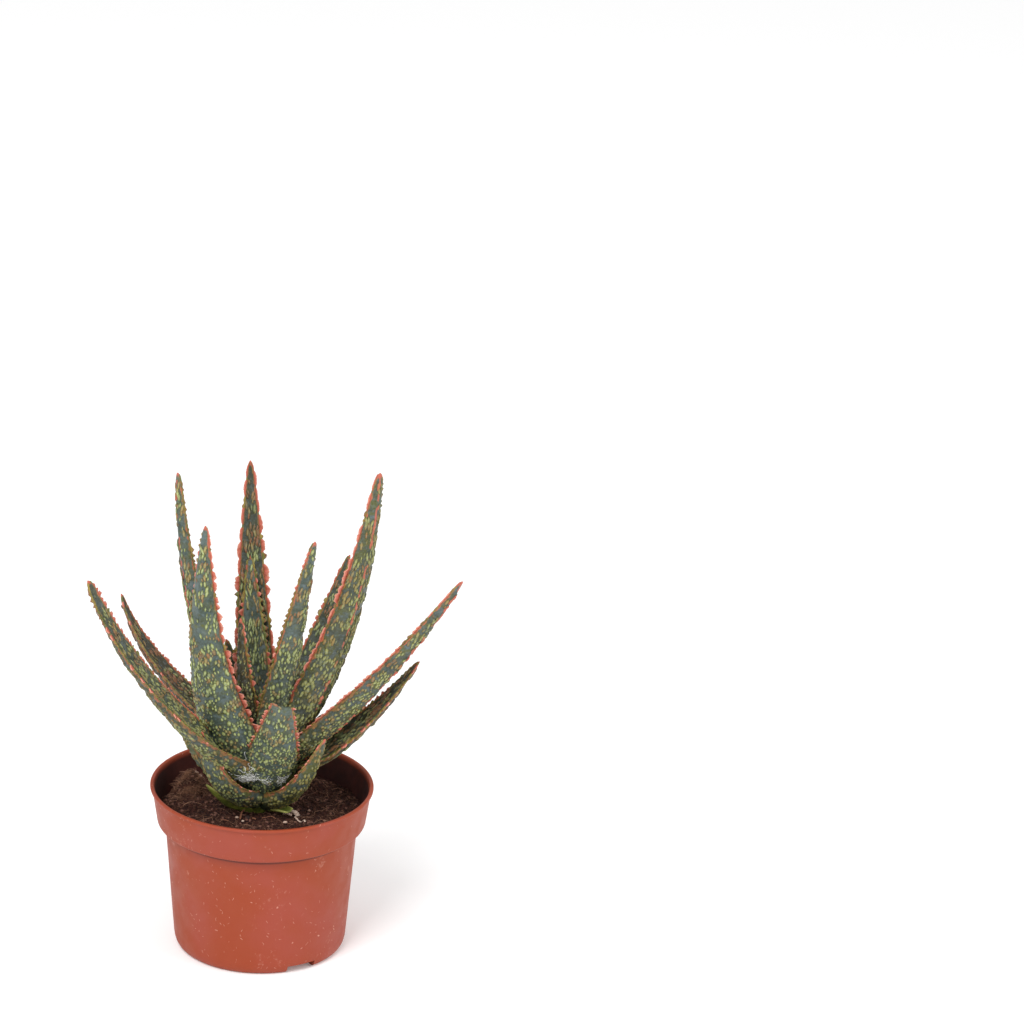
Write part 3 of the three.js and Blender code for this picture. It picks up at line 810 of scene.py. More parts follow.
chances = follow("ShaderNodeCombineXYZ", {0: spot_chance(0.0, 1.0, 1), 1: spot_chance(0.0, 1.0, 2)})
marked = follow("GeometryNodeStoreNamedAttribute", {
    "Geometry": seeds["Points"], "Name": "chances", "Value": chances},
    data_type="FLOAT_VECTOR", domain="POINT")
stand = follow("FunctionNodeAlignRotationToVector", {"Vector": seeds["Normal"]}, axis="Z")
stand = follow("FunctionNodeAlignRotationToVector", {
    "Rotation": stand, "Vector": read(dress, "way", "FLOAT_VECTOR")}, axis="X", pivot_axis="Z")
askew = follow("ShaderNodeCombineXYZ", {2: spot_chance(-0.3, 0.3, 5)})
askew = follow("FunctionNodeEulerToRotation", {0: askew})
stand = follow("FunctionNodeRotateRotation", {"Rotation": stand, "Rotate By": askew},
               rotation_space="LOCAL")
size = product(spot_chance(0.6, 1.4, 3), ramp(zone, 0.0, 1.0, 0.75, 1.05))
spot_length = product(product(dress_in["Length"], size), ramp(foot_share, 0.1, 0.8, 0.9, 1.25))
spot_width = product(product(dress_in["Width"], size), ramp(foot_share, 0.1, 0.8, 1.05, 0.75))
spot_height = product(dress_in["Height"], spot_chance(0.7, 1.2, 4))
spot_size = follow("ShaderNodeCombineXYZ", {0: spot_length, 1: spot_width, 2: spot_height})
spot_shape = outputs_of("GeometryNodeObjectInfo", {"Object": dress_in["Spot"]})["Geometry"]
placed = follow("GeometryNodeInstanceOnPoints", {
    "Points": marked, "Instance": spot_shape, "Rotation": stand, "Scale": spot_size})
real = follow("GeometryNodeRealizeInstances", {0: placed})
skinned = with_material(join(real, dress_in["Leaf"]), dress_in["Skin"])
ribbons = outputs_of("GeometryNodeObjectInfo", {"Object": dress_in["Crest"]})["Geometry"]
reddened = with_material(ribbons, dress_in["Coral"])
soft = follow("GeometryNodeSetShadeSmooth", {"Geometry": join(reddened, skinned)})
dress.links.new(soft, dress_out)
print("spot tree:", len(dress.nodes), "nodes")

# %% [markdown]
# The leaf's skin is slate green with a waxy, bluish bloom, and darker and greener where the spots
# stand close. The spots are lime near the foot and turn tan and orange towards the margins and the
# tip, and on old leaves, with a painted highlight on each top and a darker rim that is partly painted
# shadow. Leaves deep in the rosette darken at the foot and the tip, partly older tissue and partly
# painted shade. The margins are drawn in gold and coral.

# %% Leaf skin material
SLATE_DEEP = colour(60, 74, 64)
SLATE = colour(84, 98, 92)
SLATE_BLOOM = colour(106, 120, 124)
OLIVE_GREY = colour(88, 92, 58)
OLIVE_DARK = colour(52, 46, 24)
OLIVE_GREEN = colour(96, 100, 44)
# The two ring colours paint the rim round a spot, partly its own darker colour and partly painted shadow.
SPOT_RIM_AND_SHADOW = colour(54, 66, 44)
SPOT_RIM_AND_SHADOW_WARM = colour(88, 54, 34)
SPOT_GREEN = colour(98, 116, 62)
LIME = colour(142, 150, 80)
# The pale lime and the pale tan are painted highlights on the tops of the spots.
LIME_PAINTED_HIGHLIGHT = colour(178, 188, 130)
TAN = colour(134, 112, 60)
TAN_PAINTED_HIGHLIGHT = colour(162, 144, 96)
ORANGE = colour(150, 92, 64)
CORAL = colour(186, 96, 76)
CORAL_DEEP = colour(146, 62, 44)
OLIVE_GOLD = colour(144, 126, 56)
MARGIN_GOLD = colour(158, 112, 60)
FOOT_GREEN = colour(34, 62, 44)


def here_on(tree):
    """The place on the piece, in metres."""
    return add(tree, "ShaderNodeTexCoord").outputs["Object"]


def attribute(tree, name, output="Fac"):
    """A named attribute in a tree that shades."""
    return add(tree, "ShaderNodeAttribute", attribute_name=name).outputs[output]


RELIEF_DEPTH = 0.0004


def wire_up(tree, shader, base, height, strength, depth=RELIEF_DEPTH):
    """Gives a shader its colour and its fine relief."""
    tree.links.new(base, shader.inputs["Base Color"])
    relief = follow("ShaderNodeBump", {"Height": height, "Strength": strength, "Distance": depth})
    tree.links.new(relief, shader.inputs["Normal"])


# %% Green base of the leaf skin
leaf_skin, skin_tree, skin_shader = new_material("leaf_skin", Roughness=0.5, Specular_IOR_Level=0.4)
here = here_on(skin_tree)
skin_place = attribute(skin_tree, "skin", "Vector")
fact = {name: attribute(skin_tree, name) for name in
        ("margin", "tip", "foot", "ridge", "warm", "dark", "olive", "keel", "rise")}
chance = xyz(attribute(skin_tree, "chances", "Vector"))

base = mixed(ramp(noise(here, 90.0, 3.0), 0.35, 0.65), SLATE_DEEP, SLATE)
base = mixed(ramp(noise(here, 150.0, 4.0, 0.7), 0.46, 0.7, 0.0, 0.75), base, SLATE_BLOOM)
base = mixed(product(zone_nodes(skin_place), 0.42), base, OLIVE_GREY)
blotch = total(noise(skin_place, 0.22, 2.0), product(fact["olive"], 0.25))
base = mixed(ramp(blotch, 0.62, 0.76, 0.0, 0.8), base, OLIVE_GREEN)
# Painted shade and age: the dark value turns the skin olive-dark at the foot and the tip, partly the darker
# tissue of old growth and partly painted shade where other leaves shadow it.
base = mixed(fact["dark"], base, OLIVE_DARK)
print("base of the skin:", len(skin_tree.nodes), "nodes")

# %% Spots of the leaf skin
share = calc("DIVIDE", fact["foot"], total(fact["foot"], fact["tip"]))
warmth = total(
    fact["warm"], ramp(fact["margin"], 3.0, 0.8, 0.0, 0.3), ramp(share, 0.2, 0.9, -0.1, 0.2),
    ramp(noise(skin_place, 0.13, 1.0), 0.38, 0.62, -0.25, 0.45), ramp(chance[1], 0.0, 1.0, -0.25, 0.25))
# Painted highlight: the top of each blister is paler, as if lit from above.
painted_highlight_top = ramp(fact["rise"], 0.6, 1.0)
lime = mixed(painted_highlight_top, mixed(chance[0], SPOT_GREEN, LIME), LIME_PAINTED_HIGHLIGHT)
tan = mixed(painted_highlight_top, TAN, TAN_PAINTED_HIGHLIGHT)
spot_colour = mixed(ramp(warmth, 0.25, 0.6), lime, tan)
spot_colour = mixed(ramp(warmth, 0.6, 1.0, 0.0, 0.9), spot_colour, ORANGE)
spot_colour = mixed(product(fact["olive"], 0.7), spot_colour, OLIVE_GOLD)
# On dark leaves the spots fade into the skin as well, partly painted shade; some spots are faint at random.
shade = total(product(fact["dark"], 0.4), ramp(chance[0], 0.0, 0.5, 0.5, 0.0))
spot_colour = mixed(shade, spot_colour, base)
# Painted shadow: the skirt of each blister is a darker rim, partly its own colour and partly painted shadow
# round the raised spot.
rim_and_shadow_colour = mixed(0.35, mixed(ramp(warmth, 0.4, 0.9), SPOT_RIM_AND_SHADOW, SPOT_RIM_AND_SHADOW_WARM), base)
painted = mixed(ramp(fact["rise"], 0.02, 0.12), base, rim_and_shadow_colour)
painted = mixed(ramp(fact["rise"], 0.2, 0.6), painted, spot_colour)
freckle = noise(here, 850.0, 3.0, 0.6)
painted = mixed(ramp(freckle, 0.5, 0.72, 0.0, 0.4), painted, SLATE_BLOOM)
painted = mixed(ramp(freckle, 0.5, 0.28, 0.0, 0.55), painted, OLIVE_DARK)
print("skin with spots:", len(skin_tree.nodes), "nodes")

# %% Margins, ridge, tip, foot and gloss of the leaf skin
fray = product(calc("SUBTRACT", noise(here, 300.0, 2.0), 0.5), 2.4)
from_edge = total(fact["margin"], fray)
painted = mixed(ramp(from_edge, 0.5, 0.0, 0.0, 0.65), painted, MARGIN_GOLD)
coral_edge = product(ramp(noise(here, 90.0, 1.0), 0.5, 0.58), ramp(from_edge, 0.35, -0.1, 0.0, 0.75))
painted = mixed(coral_edge, painted, CORAL)
dashes = ramp(noise(skin_place, 0.25, 1.0), 0.42, 0.48)
painted = mixed(product(ramp(fact["ridge"], 0.5, 0.25), fact["keel"], dashes), painted, CORAL)
painted = mixed(ramp(total(fact["tip"], fray), 3.0, 1.0), painted, CORAL)
painted = mixed(ramp(fact["foot"], 7.0, 2.0, 0.0, 0.8), painted, FOOT_GREEN)
gloss = ramp(noise(here, 300.0, 3.0), 0.3, 0.7, 0.4, 0.58)
skin_tree.links.new(gloss, skin_shader.inputs["Roughness"])
wire_up(skin_tree, skin_shader, painted, noise(here, 1100.0, 4.0, 0.65), 0.5)
print("leaf skin:", len(skin_tree.nodes), "nodes")

# %% Crest material
CORAL_PALE = colour(212, 142, 120)
HUMP_BROWN = colour(132, 84, 52)

crest_coral, coral_tree, coral_shader = new_material(
    "crest_coral", Roughness=0.45, Subsurface_Weight=0.15, Subsurface_Radius=(0.002, 0.0008, 0.0005))
edge, where = attribute(coral_tree, "edge"), here_on(coral_tree)
mottle = noise(where, 420.0, 3.0)
hump = mixed(ramp(noise(where, 160.0, 2.0), 0.42, 0.6), OLIVE_GREEN, OLIVE_GOLD)
hump = mixed(ramp(total(edge, mottle), 0.9, 1.4), hump, HUMP_BROWN)
lobe = mixed(ramp(edge, 0.0, 0.35), CORAL_DEEP, CORAL)
lobe = mixed(ramp(total(edge, mottle), 0.95, 1.5), lobe, CORAL_PALE)
lobe = mixed(ramp(edge, 0.12, 0.02, 0.0, 0.6), lobe, OLIVE_GOLD)
crest_colour = mixed(ramp(attribute(coral_tree, "redness"), 0.35, 0.7), hump, lobe)
wire_up(coral_tree, coral_shader, crest_colour, mottle, 0.5)
print("crest material:", len(coral_tree.nodes), "nodes")

# %% [markdown]
# Now the leaves are made in order. Each is swollen, cut by the ones inside it, and then given its
# spots and its crest. The tools for cutting are coarse copies of the inner leaves, a little thicker,
# so a thin gap is left, as between the solids.

# %% Make the leaves
GAP = 0.3
TOOL_GRAIN = 3.0
SPOT_WIDTH = 1.15
SPOT_LENGTH = 1.55
SPOT_SPACING = 0.75
STRETCH_SPACING = 0.2
LEAF_NAMES = [name for name in LEAF_SIZES if name.startswith("leaf_") and "stub" not in name]

leaves, tools = {}, []
for order, name in enumerate(LEAF_NAMES):
    look = look_of(name)
    leaf, line, grid, across = make_leaf(name)
    add_nodes(leaf, swell)
    settle(leaf)
    for tool in tools:
        cut(leaf, tool)
    settle(leaf)
    leaf.data.materials.clear()
    ribbon = make_crest(name, line, grid, across)
    width, stretch = look["spot"] * MM * SPOT_WIDTH, look["stretch"]
    add_nodes(leaf, dress, Spot=spot, Crest=ribbon, Seed=order, Skin=leaf_skin, Coral=crest_coral,
              Width=width, Length=width * SPOT_LENGTH * stretch,
              Spacing=width * (SPOT_SPACING + STRETCH_SPACING * stretch))
    settle(leaf)
    drop(ribbon)
    tools.append(make_leaf(name, TOOL_GRAIN, GAP)[0])
    leaves[name] = leaf
print("leaves:", len(leaves), "triangles:", sum(triangles(leaf) for leaf in leaves.values()))

# %% [markdown]
# The pot is one thin moulded shell. Its outline is turned once round the axis: the pad and the ring
# under the floor, the tapered body, the step out to the collar, the folded lip, and the inside. The
# corners of a moulding are never sharp, so each one is replaced by a small arc first.

# %% Pot outline in millimetres: radius, height, rounding
POT_OUTLINE = (
    (0, 0, 0), (14, 0, 0.5), (16.4, 3.2, 0.5), (33.1, 3.2, 0.4), (33.7, 0, 0.4), (40.1, 0, 5.9),
    (45.3, 62.1, 0.7), (48.9, 62.1, 1.3), (51.5, 79.0, 0.2), (52.5, 79.0, 0.6), (52.5, 80.4, 0.6),
    (50.8, 80.4, 0.6), (50.3, 79.0, 0.5), (47.7, 63.5, 0.8), (44.1, 63.3, 0.8), (39.2, 4.4, 1.8),
    (16.4, 4.4, 0.5), (14, 1.2, 0.5), (0, 1.2, 0),
)
POT_SEGMENTS = 180
ARC_STEPS = 6
# An arc takes less than half of each side of its corner
CORNER_ROOM = 2.1


def rounded(outline):
    """The outline with each corner turned into a short arc."""
    places = np.array([painted_collar_shadow[:2] for painted_collar_shadow in outline], float)
    result = [places[0]]
    for i in range(1, len(places) - 1):
        painted_collar_shadow, radius = places[i], outline[i][2]
        sides = [(side, np.linalg.norm(side)) for side in (places[i - 1] - painted_collar_shadow, places[i + 1] - painted_collar_shadow)]
        first, last = (painted_collar_shadow + side / far * min(radius, far / CORNER_ROOM) for side, far in sides)
        for t in np.linspace(0, 1, ARC_STEPS):
            result.append(first * (1 - t) ** 2 + painted_collar_shadow * 2 * t * (1 - t) + last * t * t)
    return np.array(result + [places[-1]])


def turned_faces(rings, segments):
    """Faces of a closed turned body: a point on the axis, its rings, and another point on the axis."""
    index = 1 + np.arange(rings * segments).reshape(rings, segments)
    beside = np.roll(index, -1, 1)
    faces = quads_between(index) + [(0, beside[0, i], index[0, i]) for i in range(segments)]
    return faces + [(rings * segments + 1, index[-1, i], beside[-1, i]) for i in range(segments)]


def turned(name, outline, segments):
    """A closed body of revolution whose outline starts and ends on the axis."""
    rings = [ring(radius, height, circle(segments)) for radius, height in outline[1:-1]]
    points = np.concatenate([[(0, 0, outline[0][1])], *rings, [(0, 0, outline[-1][1])]])
    return new_object(name, points, turned_faces(len(rings), segments))


pot = turned("pot_shell", rounded(POT_OUTLINE), POT_SEGMENTS)
print("pot:", [round(v, 4) for v in pot.dimensions], triangles(pot), "triangles")

# %% [markdown]
# Water leaves through holes in the floor, and two notches in the foot let it run away from under the
# pot. Both are cut with plain closed tools.

# %% Drain holes and notches
DRAIN_HOLES = 6
DRAIN_OUTLINE = [(0, -2), (3.2, -2), (3.2, 8), (0, 8)]
DRAIN_SEGMENTS = 24
DRAIN_CIRCLE = 27
NOTCH_HEADINGS = (-58, 122)
NOTCH_REACH = 40.1
NOTCH_SIZE = (17, 14.5, 3.7)
SHARP_ANGLE = 40


def box_tool(size, reach, heading):
    """A box that stands at a reach and heading, half under the floor."""
    x, y, z = size
    corners = np.array([(i, j, k) for i in (-x / 2, x / 2) for j in (-y / 2, y / 2) for k in (-z, z)])
    turn = math.radians(heading)
    way = (math.cos(turn), math.sin(turn), 0)
    spun = corners @ np.array([way, (-math.sin(turn), math.cos(turn), 0), (0, 0, 1)])
    spun += (reach * way[0], reach * way[1], 0)
    faces = [(0, 1, 3, 2), (4, 6, 7, 5), (0, 4, 5, 1), (2, 3, 7, 6), (0, 2, 6, 4), (1, 5, 7, 3)]
    return new_object("notch_tool", spun, faces)


drains = []
for turn in circle(DRAIN_HOLES):
    drain = turned("drain_tool", DRAIN_OUTLINE, DRAIN_SEGMENTS)
    place = (DRAIN_CIRCLE * MM * math.cos(turn), DRAIN_CIRCLE * MM * math.sin(turn), 0)
    drain.data.transform(Matrix.Translation(place))
    drains.append(drain)
notches = [box_tool(NOTCH_SIZE, NOTCH_REACH, heading) for heading in NOTCH_HEADINGS]
for tool in drains + notches:
    cut(pot, tool)
settle(pot)
drop(*drains, *notches)
pot.data.shade_smooth()
pot.data.set_sharp_from_angle(angle=math.radians(SHARP_ANGLE))
print("pot with holes:", triangles(pot), "triangles")

# %% [markdown]
# The plastic is matte terracotta. Handling has left it with pale scuffs: short thin strokes and
# specks in loose groups. Inside, above the soil, it is dark with dried peat, and a thin painted shadow
# runs round the body just under the collar. The scuffs are a group, because the cut leaf bits wear the
# same specks.

# %% Shader group of scuffs and specks
MIDDLE_GREY = (0.5, 0.5, 0.5)

scuffs, scuffs_in, scuffs_out = new_tree(
    "scuffs", "ShaderNodeTree", {"Place": "Vector", "Scale": 300.0, "Amount": 0.5}, "Mask", "Float")
bend = outputs_of("ShaderNodeTexNoise", {"Vector": scuffs_in["Place"], "Scale": 420.0, "Detail": 1.0})
bend = vector("SCALE", {0: bend["Color"], "Scale": 0.0022})
bent = vector("ADD", {0: scuffs_in["Place"], 1: bend})
cells = outputs_of("ShaderNodeTexVoronoi", {"Vector": bent, "Scale": scuffs_in["Scale"]})
from_middle = vector("SUBTRACT", {0: bent, 1: cells["Position"]})
facing_way = vector("SUBTRACT", {0: cells["Color"], 1: MIDDLE_GREY})
facing_way = vector("NORMALIZE", {0: facing_way})
beside = vector("DOT_PRODUCT", {0: from_middle, 1: facing_way}, "Value")
beside = calc("ABSOLUTE", product(beside, scuffs_in["Scale"]))
stroke = product(ramp(beside, 0.085, 0.02), ramp(cells["Distance"], 0.4, 0.25))
stroke_chance = xyz(cells["Color"])
loose_groups = noise(scuffs_in["Place"], 38.0, 3.0, 0.6)
often = product(ramp(loose_groups, 0.36, 0.68, 0.15, 1.0), scuffs_in["Amount"])
kept = ramp(calc("SUBTRACT", often, stroke_chance[0]), 0.0, 0.12)
scuffs.links.new(product(stroke, kept, ramp(stroke_chance[1], 0.0, 1.0, 0.25, 1.0)), scuffs_out)
print("scuff group:", len(scuffs.nodes), "nodes")


def scuff_mask(place, scale):
    """Where a material is scuffed."""
    return follow("ShaderNodeGroup", {"Place": place, "Scale": scale}, node_tree=scuffs)


# %% Pot plastic material
POT_CLAY = colour(150, 60, 27)
POT_CLAY_PALE = colour(154, 66, 48)
POT_SCUFF = colour(226, 172, 150)
POT_STAIN_AND_SHADOW = colour(84, 38, 30)
POT_INSIDE_DARK = colour(52, 24, 22)
# Heights in metres between which the stain inside and the painted shadow under the collar come and go
STAIN_TOP = (0.0798, 0.0775)
SHADE_START = (0.0594, 0.0604)
SHADE_END = (0.0622, 0.0618)
MOULD_DEPTH = 0.0003

pot_plastic, pot_tree, pot_shader = new_material("pot_plastic", Roughness=0.55, Specular_IOR_Level=0.35)
pot_here = here_on(pot_tree)
clay = mixed(ramp(noise(pot_here, 28.0, 3.0), 0.4, 0.7), POT_CLAY, POT_CLAY_PALE)
clay = mixed(product(scuff_mask(pot_here, 500.0), 0.55), clay, POT_SCUFF)
clay = mixed(ramp(noise(pot_here, 75.0, 6.0, 0.75), 0.6, 0.78, 0.0, 0.45), clay, POT_SCUFF)
x, y, up = xyz(pot_here)
outward = vector("NORMALIZE", {0: follow("ShaderNodeCombineXYZ", {0: x, 1: y})})
faces_to = add(pot_tree, "ShaderNodeNewGeometry").outputs["Normal"]
facing = vector("DOT_PRODUCT", {0: faces_to, 1: outward}, "Value")
inner = product(ramp(facing, -0.1, -0.5), ramp(up, *STAIN_TOP))
peat_stain = mixed(ramp(noise(pot_here, 45.0, 4.0, 0.6), 0.35, 0.65), POT_INSIDE_DARK, POT_STAIN_AND_SHADOW)
clay = mixed(inner, clay, peat_stain)
# Painted shadow: a thin dark line round the body just below the collar's edge, where the collar shades it, in
# the colour of the stain inside.
painted_collar_shadow = product(ramp(up, *SHADE_START, 0.0, 0.8), ramp(facing, 0.5, 0.9), ramp(up, *SHADE_END))
clay = mixed(painted_collar_shadow, clay, POT_STAIN_AND_SHADOW)
sheen = ramp(noise(pot_here, 120.0, 4.0), 0.3, 0.7, 0.48, 0.62)
pot_tree.links.new(sheen, pot_shader.inputs["Roughness"])
wire_up(pot_tree, pot_shader, clay, noise(pot_here, 900.0, 3.0), 0.12, MOULD_DEPTH)
wear(pot, pot_plastic)
print("pot plastic:", len(pot_tree.nodes), "nodes")

# %% [markdown]
# The soil is a plug of peat. Its shape repeats the solid: a low crown with clods. The surface is
# then roughened by a tree of shape nodes, which also strews crumbs and short fibres over it. The
# attribute top is one on the surface that shows, so the hidden sides stay smooth.

# %% Soil body
SOIL_EDGE_HEIGHT = 66.5
SOIL_CROWN = 2.6
SOIL_SPREAD = 48.0
SOIL_RIM = 47.7
# Heading, reach, radius and height of each clod, the largest one first
CLODS = ((152, 39.2, 9.6, 10.5), (176, 41, 6, 2.5), (184, 33, 5, 2.4), (118, 34, 9, 2.4), (44, 36, 10, 3.0),
         (12, 37, 9, 1.8), (268, 30, 11, 1.6), (318, 33, 9, 2.0), (222, 34, 9, 1.4))
SOIL_SIDES = ((13.7, 1.5), (16.1, 4.7), (38.3, 4.7), (39.0, 6.3), (43.9, 63.6), (47.2, 64.8))
SOIL_SEGMENTS = 150
SOIL_RINGS = 48
SIDE_RINGS = 2
CLOD_POWER = 1.5
CLOD_FADE = 1.4


def soil_height(x, y):
    """Height of the soil at a place, without its crumbs."""
    height = SOIL_EDGE_HEIGHT + SOIL_CROWN * (1 - (np.hypot(x, y) / SOIL_SPREAD) ** 2)
    for heading, reach, radius, rise in CLODS:
        turn = math.radians(heading)
        near = np.hypot(x - reach * math.cos(turn), y - reach * math.sin(turn)) / radius
        height = height + rise * np.cos(np.minimum(near, 1) * math.pi / 2) ** CLOD_POWER
    return height


def make_soil():
    """The closed plug, with how far each point is on top and in the largest clod."""
    angles = circle(SOIL_SEGMENTS)
    rings = [ring(radius, height, angles) for radius, height in SOIL_SIDES]
    on_top = [0.0] * len(rings)
    for i in range(SOIL_RINGS):
        x, y, _ = ring(SOIL_RIM * (1 - i / SOIL_RINGS), 0, angles).T
        rings.append(np.stack([x, y, soil_height(x, y)], -1))
        on_top.append(min(1.0, i / SIDE_RINGS))
    points = np.concatenate([[(0, 0, SOIL_SIDES[0][1])], *rings, [(0, 0, soil_height(0.0, 0.0))]])
    top_share = np.concatenate([[0.0], np.repeat(on_top, SOIL_SEGMENTS), [1.0]])
    heading, reach, radius, _ = CLODS[0]
    middle = np.array([math.cos(math.radians(heading)), math.sin(math.radians(heading))]) * reach
    clod = np.clip(CLOD_FADE - np.linalg.norm(points[:, :2] - middle, axis=1) / radius, 0, 1)
    faces = turned_faces(len(rings), SOIL_SEGMENTS)
    return new_object("soil_plug", points, faces, top=top_share, clod=clod)


soil = make_soil()
print("soil:", [round(v, 4) for v in soil.dimensions], triangles(soil), "triangles")

# %% Tree that crumbles the soil
# The largest turn about each axis in radians, and the shares of two of them that a lying thing keeps
HALF_TURN = 3.1
LYING = (0.15, 0.12)

crumble, crumble_in, crumble_out = new_tree(
    "crumble soil", "GeometryNodeTree",
    {"Soil": "Geometry", "Roughness": 0.0022, "Crumb Density": 950000.0, "Crumb Size": 0.00068,
     "Fibre Density": 110000.0, "Clod Fibres": 700000.0, "Fibre": "Object", "Seed": 4,
     "Soil Material": "Material", "Fibre Material": "Material"}, "Soil", "Geometry")
place_now = add(crumble, "GeometryNodeInputPosition").outputs[0]
relief = total(product(noise(place_now, 190.0, 1.0), 0.45), product(noise(place_now, 520.0, 3.0, 0.65), 0.9))
rougher = total(read(crumble, "top"), product(read(crumble, "clod"), 1.2))
relief = product(calc("SUBTRACT", relief, 0.72), crumble_in["Roughness"], rougher)
offset = follow("ShaderNodeCombineXYZ", {2: relief})
rough = follow("GeometryNodeSetPosition", {"Geometry": crumble_in["Soil"], "Offset": offset})


def strew(density, thing, low, high, seed_step, lies):
    """Copies of a thing over the top, turned at random. A thing that lies stays nearly level."""
    seed = total(crumble_in["Seed"], seed_step)
    density = product(density, read(crumble, "top"))
    seeds = follow("GeometryNodeDistributePointsOnFaces", {"Mesh": rough, "Density": density, "Seed": seed})
    size = calc("POWER", random_value(seed, low, high), 2.0)
    turns = {0: (-HALF_TURN,) * 3, 1: (HALF_TURN,) * 3, "Seed": seed}
    spin = follow("FunctionNodeRandomValue", turns, data_type="FLOAT_VECTOR")
    if lies:
        x, y, z = xyz(spin)
        lying = {0: product(x, LYING[0]), 1: product(y, LYING[1]), 2: z}
        spin = follow("ShaderNodeCombineXYZ", lying)
    strewn = follow("GeometryNodeInstanceOnPoints", {
        "Points": seeds, "Instance": thing, "Rotation": spin, "Scale": size})
    toned = follow("GeometryNodeStoreNamedAttribute", {
        "Geometry": strewn, "Name": "tone", "Value": random_value(seed, 0.1, 1.0)},
        data_type="FLOAT", domain="INSTANCE")
    return follow("GeometryNodeRealizeInstances", {0: toned})


ball = follow("GeometryNodeMeshIcoSphere", {"Radius": crumble_in["Crumb Size"], "Subdivisions": 1})
dent = add(crumble, "ShaderNodeTexNoise", {"Scale": 700.0}).outputs["Color"]
dent = vector("SCALE", {0: vector("SUBTRACT", {0: dent, 1: MIDDLE_GREY}), "Scale": 0.0014})
ball = follow("GeometryNodeSetPosition", {"Geometry": ball, "Offset": dent})
crumbs = strew(crumble_in["Crumb Density"], ball, 0.45, 1.1, 1, False)
fibre_shape = outputs_of("GeometryNodeObjectInfo", {"Object": crumble_in["Fibre"]})["Geometry"]
fibre_density = total(product(crumble_in["Clod Fibres"], read(crumble, "clod")), crumble_in["Fibre Density"])
fibres = strew(fibre_density, fibre_shape, 0.7, 1.3, 2, True)
crumbled = join(
    with_material(rough, crumble_in["Soil Material"]), with_material(crumbs, crumble_in["Soil Material"]),
    with_material(fibres, crumble_in["Fibre Material"]))
crumble.links.new(crumbled, crumble_out)
print("crumble tree:", len(crumble.nodes), "nodes")

# %% Threads and one fibre
FIBRE_RADIUS = 0.065
FIBRE_PATH = [(-2.0, 0, 0.1), (-1.1, 0.5, 0.4), (0, 0.2, 0.5), (1.0, -0.4, 0.4), (1.9, 0.1, 0.15)]
UPRIGHT = 0.9
TINY = 1e-9


def thread(path, radius, sides=3, flat=1.0):
    """A closed thin tube along points in millimetres. flat squashes its section."""
    path = np.asarray(path, float)
    way = np.gradient(path, axis=0)
    way /= np.maximum(np.linalg.norm(way, axis=1, keepdims=True), TINY)
    helper = np.where(np.abs(way[:, 2:]) > UPRIGHT, (1.0, 0.0, 0.0), (0.0, 0.0, 1.0))
    first = np.cross(way, helper)
    first /= np.maximum(np.linalg.norm(first, axis=1, keepdims=True), TINY)
    second = np.cross(way, first) * flat
    angles = circle(sides)
    from_end = np.minimum(np.arange(len(path)), np.arange(len(path))[::-1])
    taper = (np.broadcast_to(radius, len(path)) * np.clip(from_end + 0.5, 0, 1))[:, None, None]
    spokes = first[:, None] * np.cos(angles)[None, :, None] + second[:, None] * np.sin(angles)[None, :, None]
    points = (path[:, None] + spokes * taper).reshape(-1, 3)
    index = np.arange(len(points)).reshape(len(path), sides)
    beside = np.roll(index, -1, 1)
    faces = np.stack([index[:-1], index[1:], beside[1:], beside[:-1]], -1).reshape(-1, 4).tolist()
    return points, faces + [index[0].tolist(), index[-1][::-1].tolist()]


fibre = new_object("fibre", *thread(FIBRE_PATH, FIBRE_RADIUS))
print("fibre:", triangles(fibre), "triangles")

# %% [markdown]
# Peat is a dark reddish brown, lighter where it has dried on top of the clods. Fibres are paler.

# %% Soil materials
PEAT_DARK = colour(36, 19, 17)
PEAT = colour(78, 45, 36)
PEAT_DRY = colour(124, 88, 66)
PEAT_PINK = colour(122, 86, 74)
FIBRE_DARK = colour(70, 42, 34)
FIBRE_PALE = colour(152, 112, 88)
FIBRE_STAIN = colour(60, 40, 34)

potting_soil, soil_tree, soil_shader = new_material("potting_soil", Roughness=0.95, Specular_IOR_Level=0.2)
soil_here, soil_tone = here_on(soil_tree), attribute(soil_tree, "tone")
peat = mixed(ramp(noise(soil_here, 650.0, 4.0, 0.7), 0.35, 0.7), PEAT_DARK, PEAT)
peat = mixed(ramp(soil_tone, 0.6, 0.95, 0.0, 0.25), peat, PEAT_DRY)
peat = mixed(ramp(soil_tone, 0.955, 0.98), peat, PEAT_PINK)
hollows = ramp(noise(soil_here, 190.0, 1.0), 0.4, 0.6, 0.1, 0.9)
peat = mixed(product(attribute(soil_tree, "clod"), hollows), peat, PEAT_DRY)
wire_up(soil_tree, soil_shader, peat, noise(soil_here, 1800.0, 4.0, 0.7), 0.8)

fibre_brown, fibre_tree, fibre_shader = new_material("fibre_brown", Roughness=0.9)
fibre_colour = mixed(ramp(attribute(fibre_tree, "tone"), 0.2, 1.0), FIBRE_DARK, FIBRE_PALE)
stain = ramp(noise(here_on(fibre_tree), 500.0), 0.4, 0.7, 0.0, 0.5)
fibre_colour = mixed(stain, fibre_colour, FIBRE_STAIN)
fibre_tree.links.new(fibre_colour, fibre_shader.inputs["Base Color"])

add_nodes(soil, crumble, Fibre=fibre, Soil_Material=potting_soil, Fibre_Material=fibre_brown)
settle(soil)
drop(fibre)
print("soil with crumbs:", triangles(soil), "triangles")

# %% [markdown]
# The stubs and the cut blade are old leaf tissue: olive, half dried, without spots. They are lofted
# like the leaves. The stem keeps its own solid and only gets a bark, which is dark green at the top,
# where the youngest leaves grow.

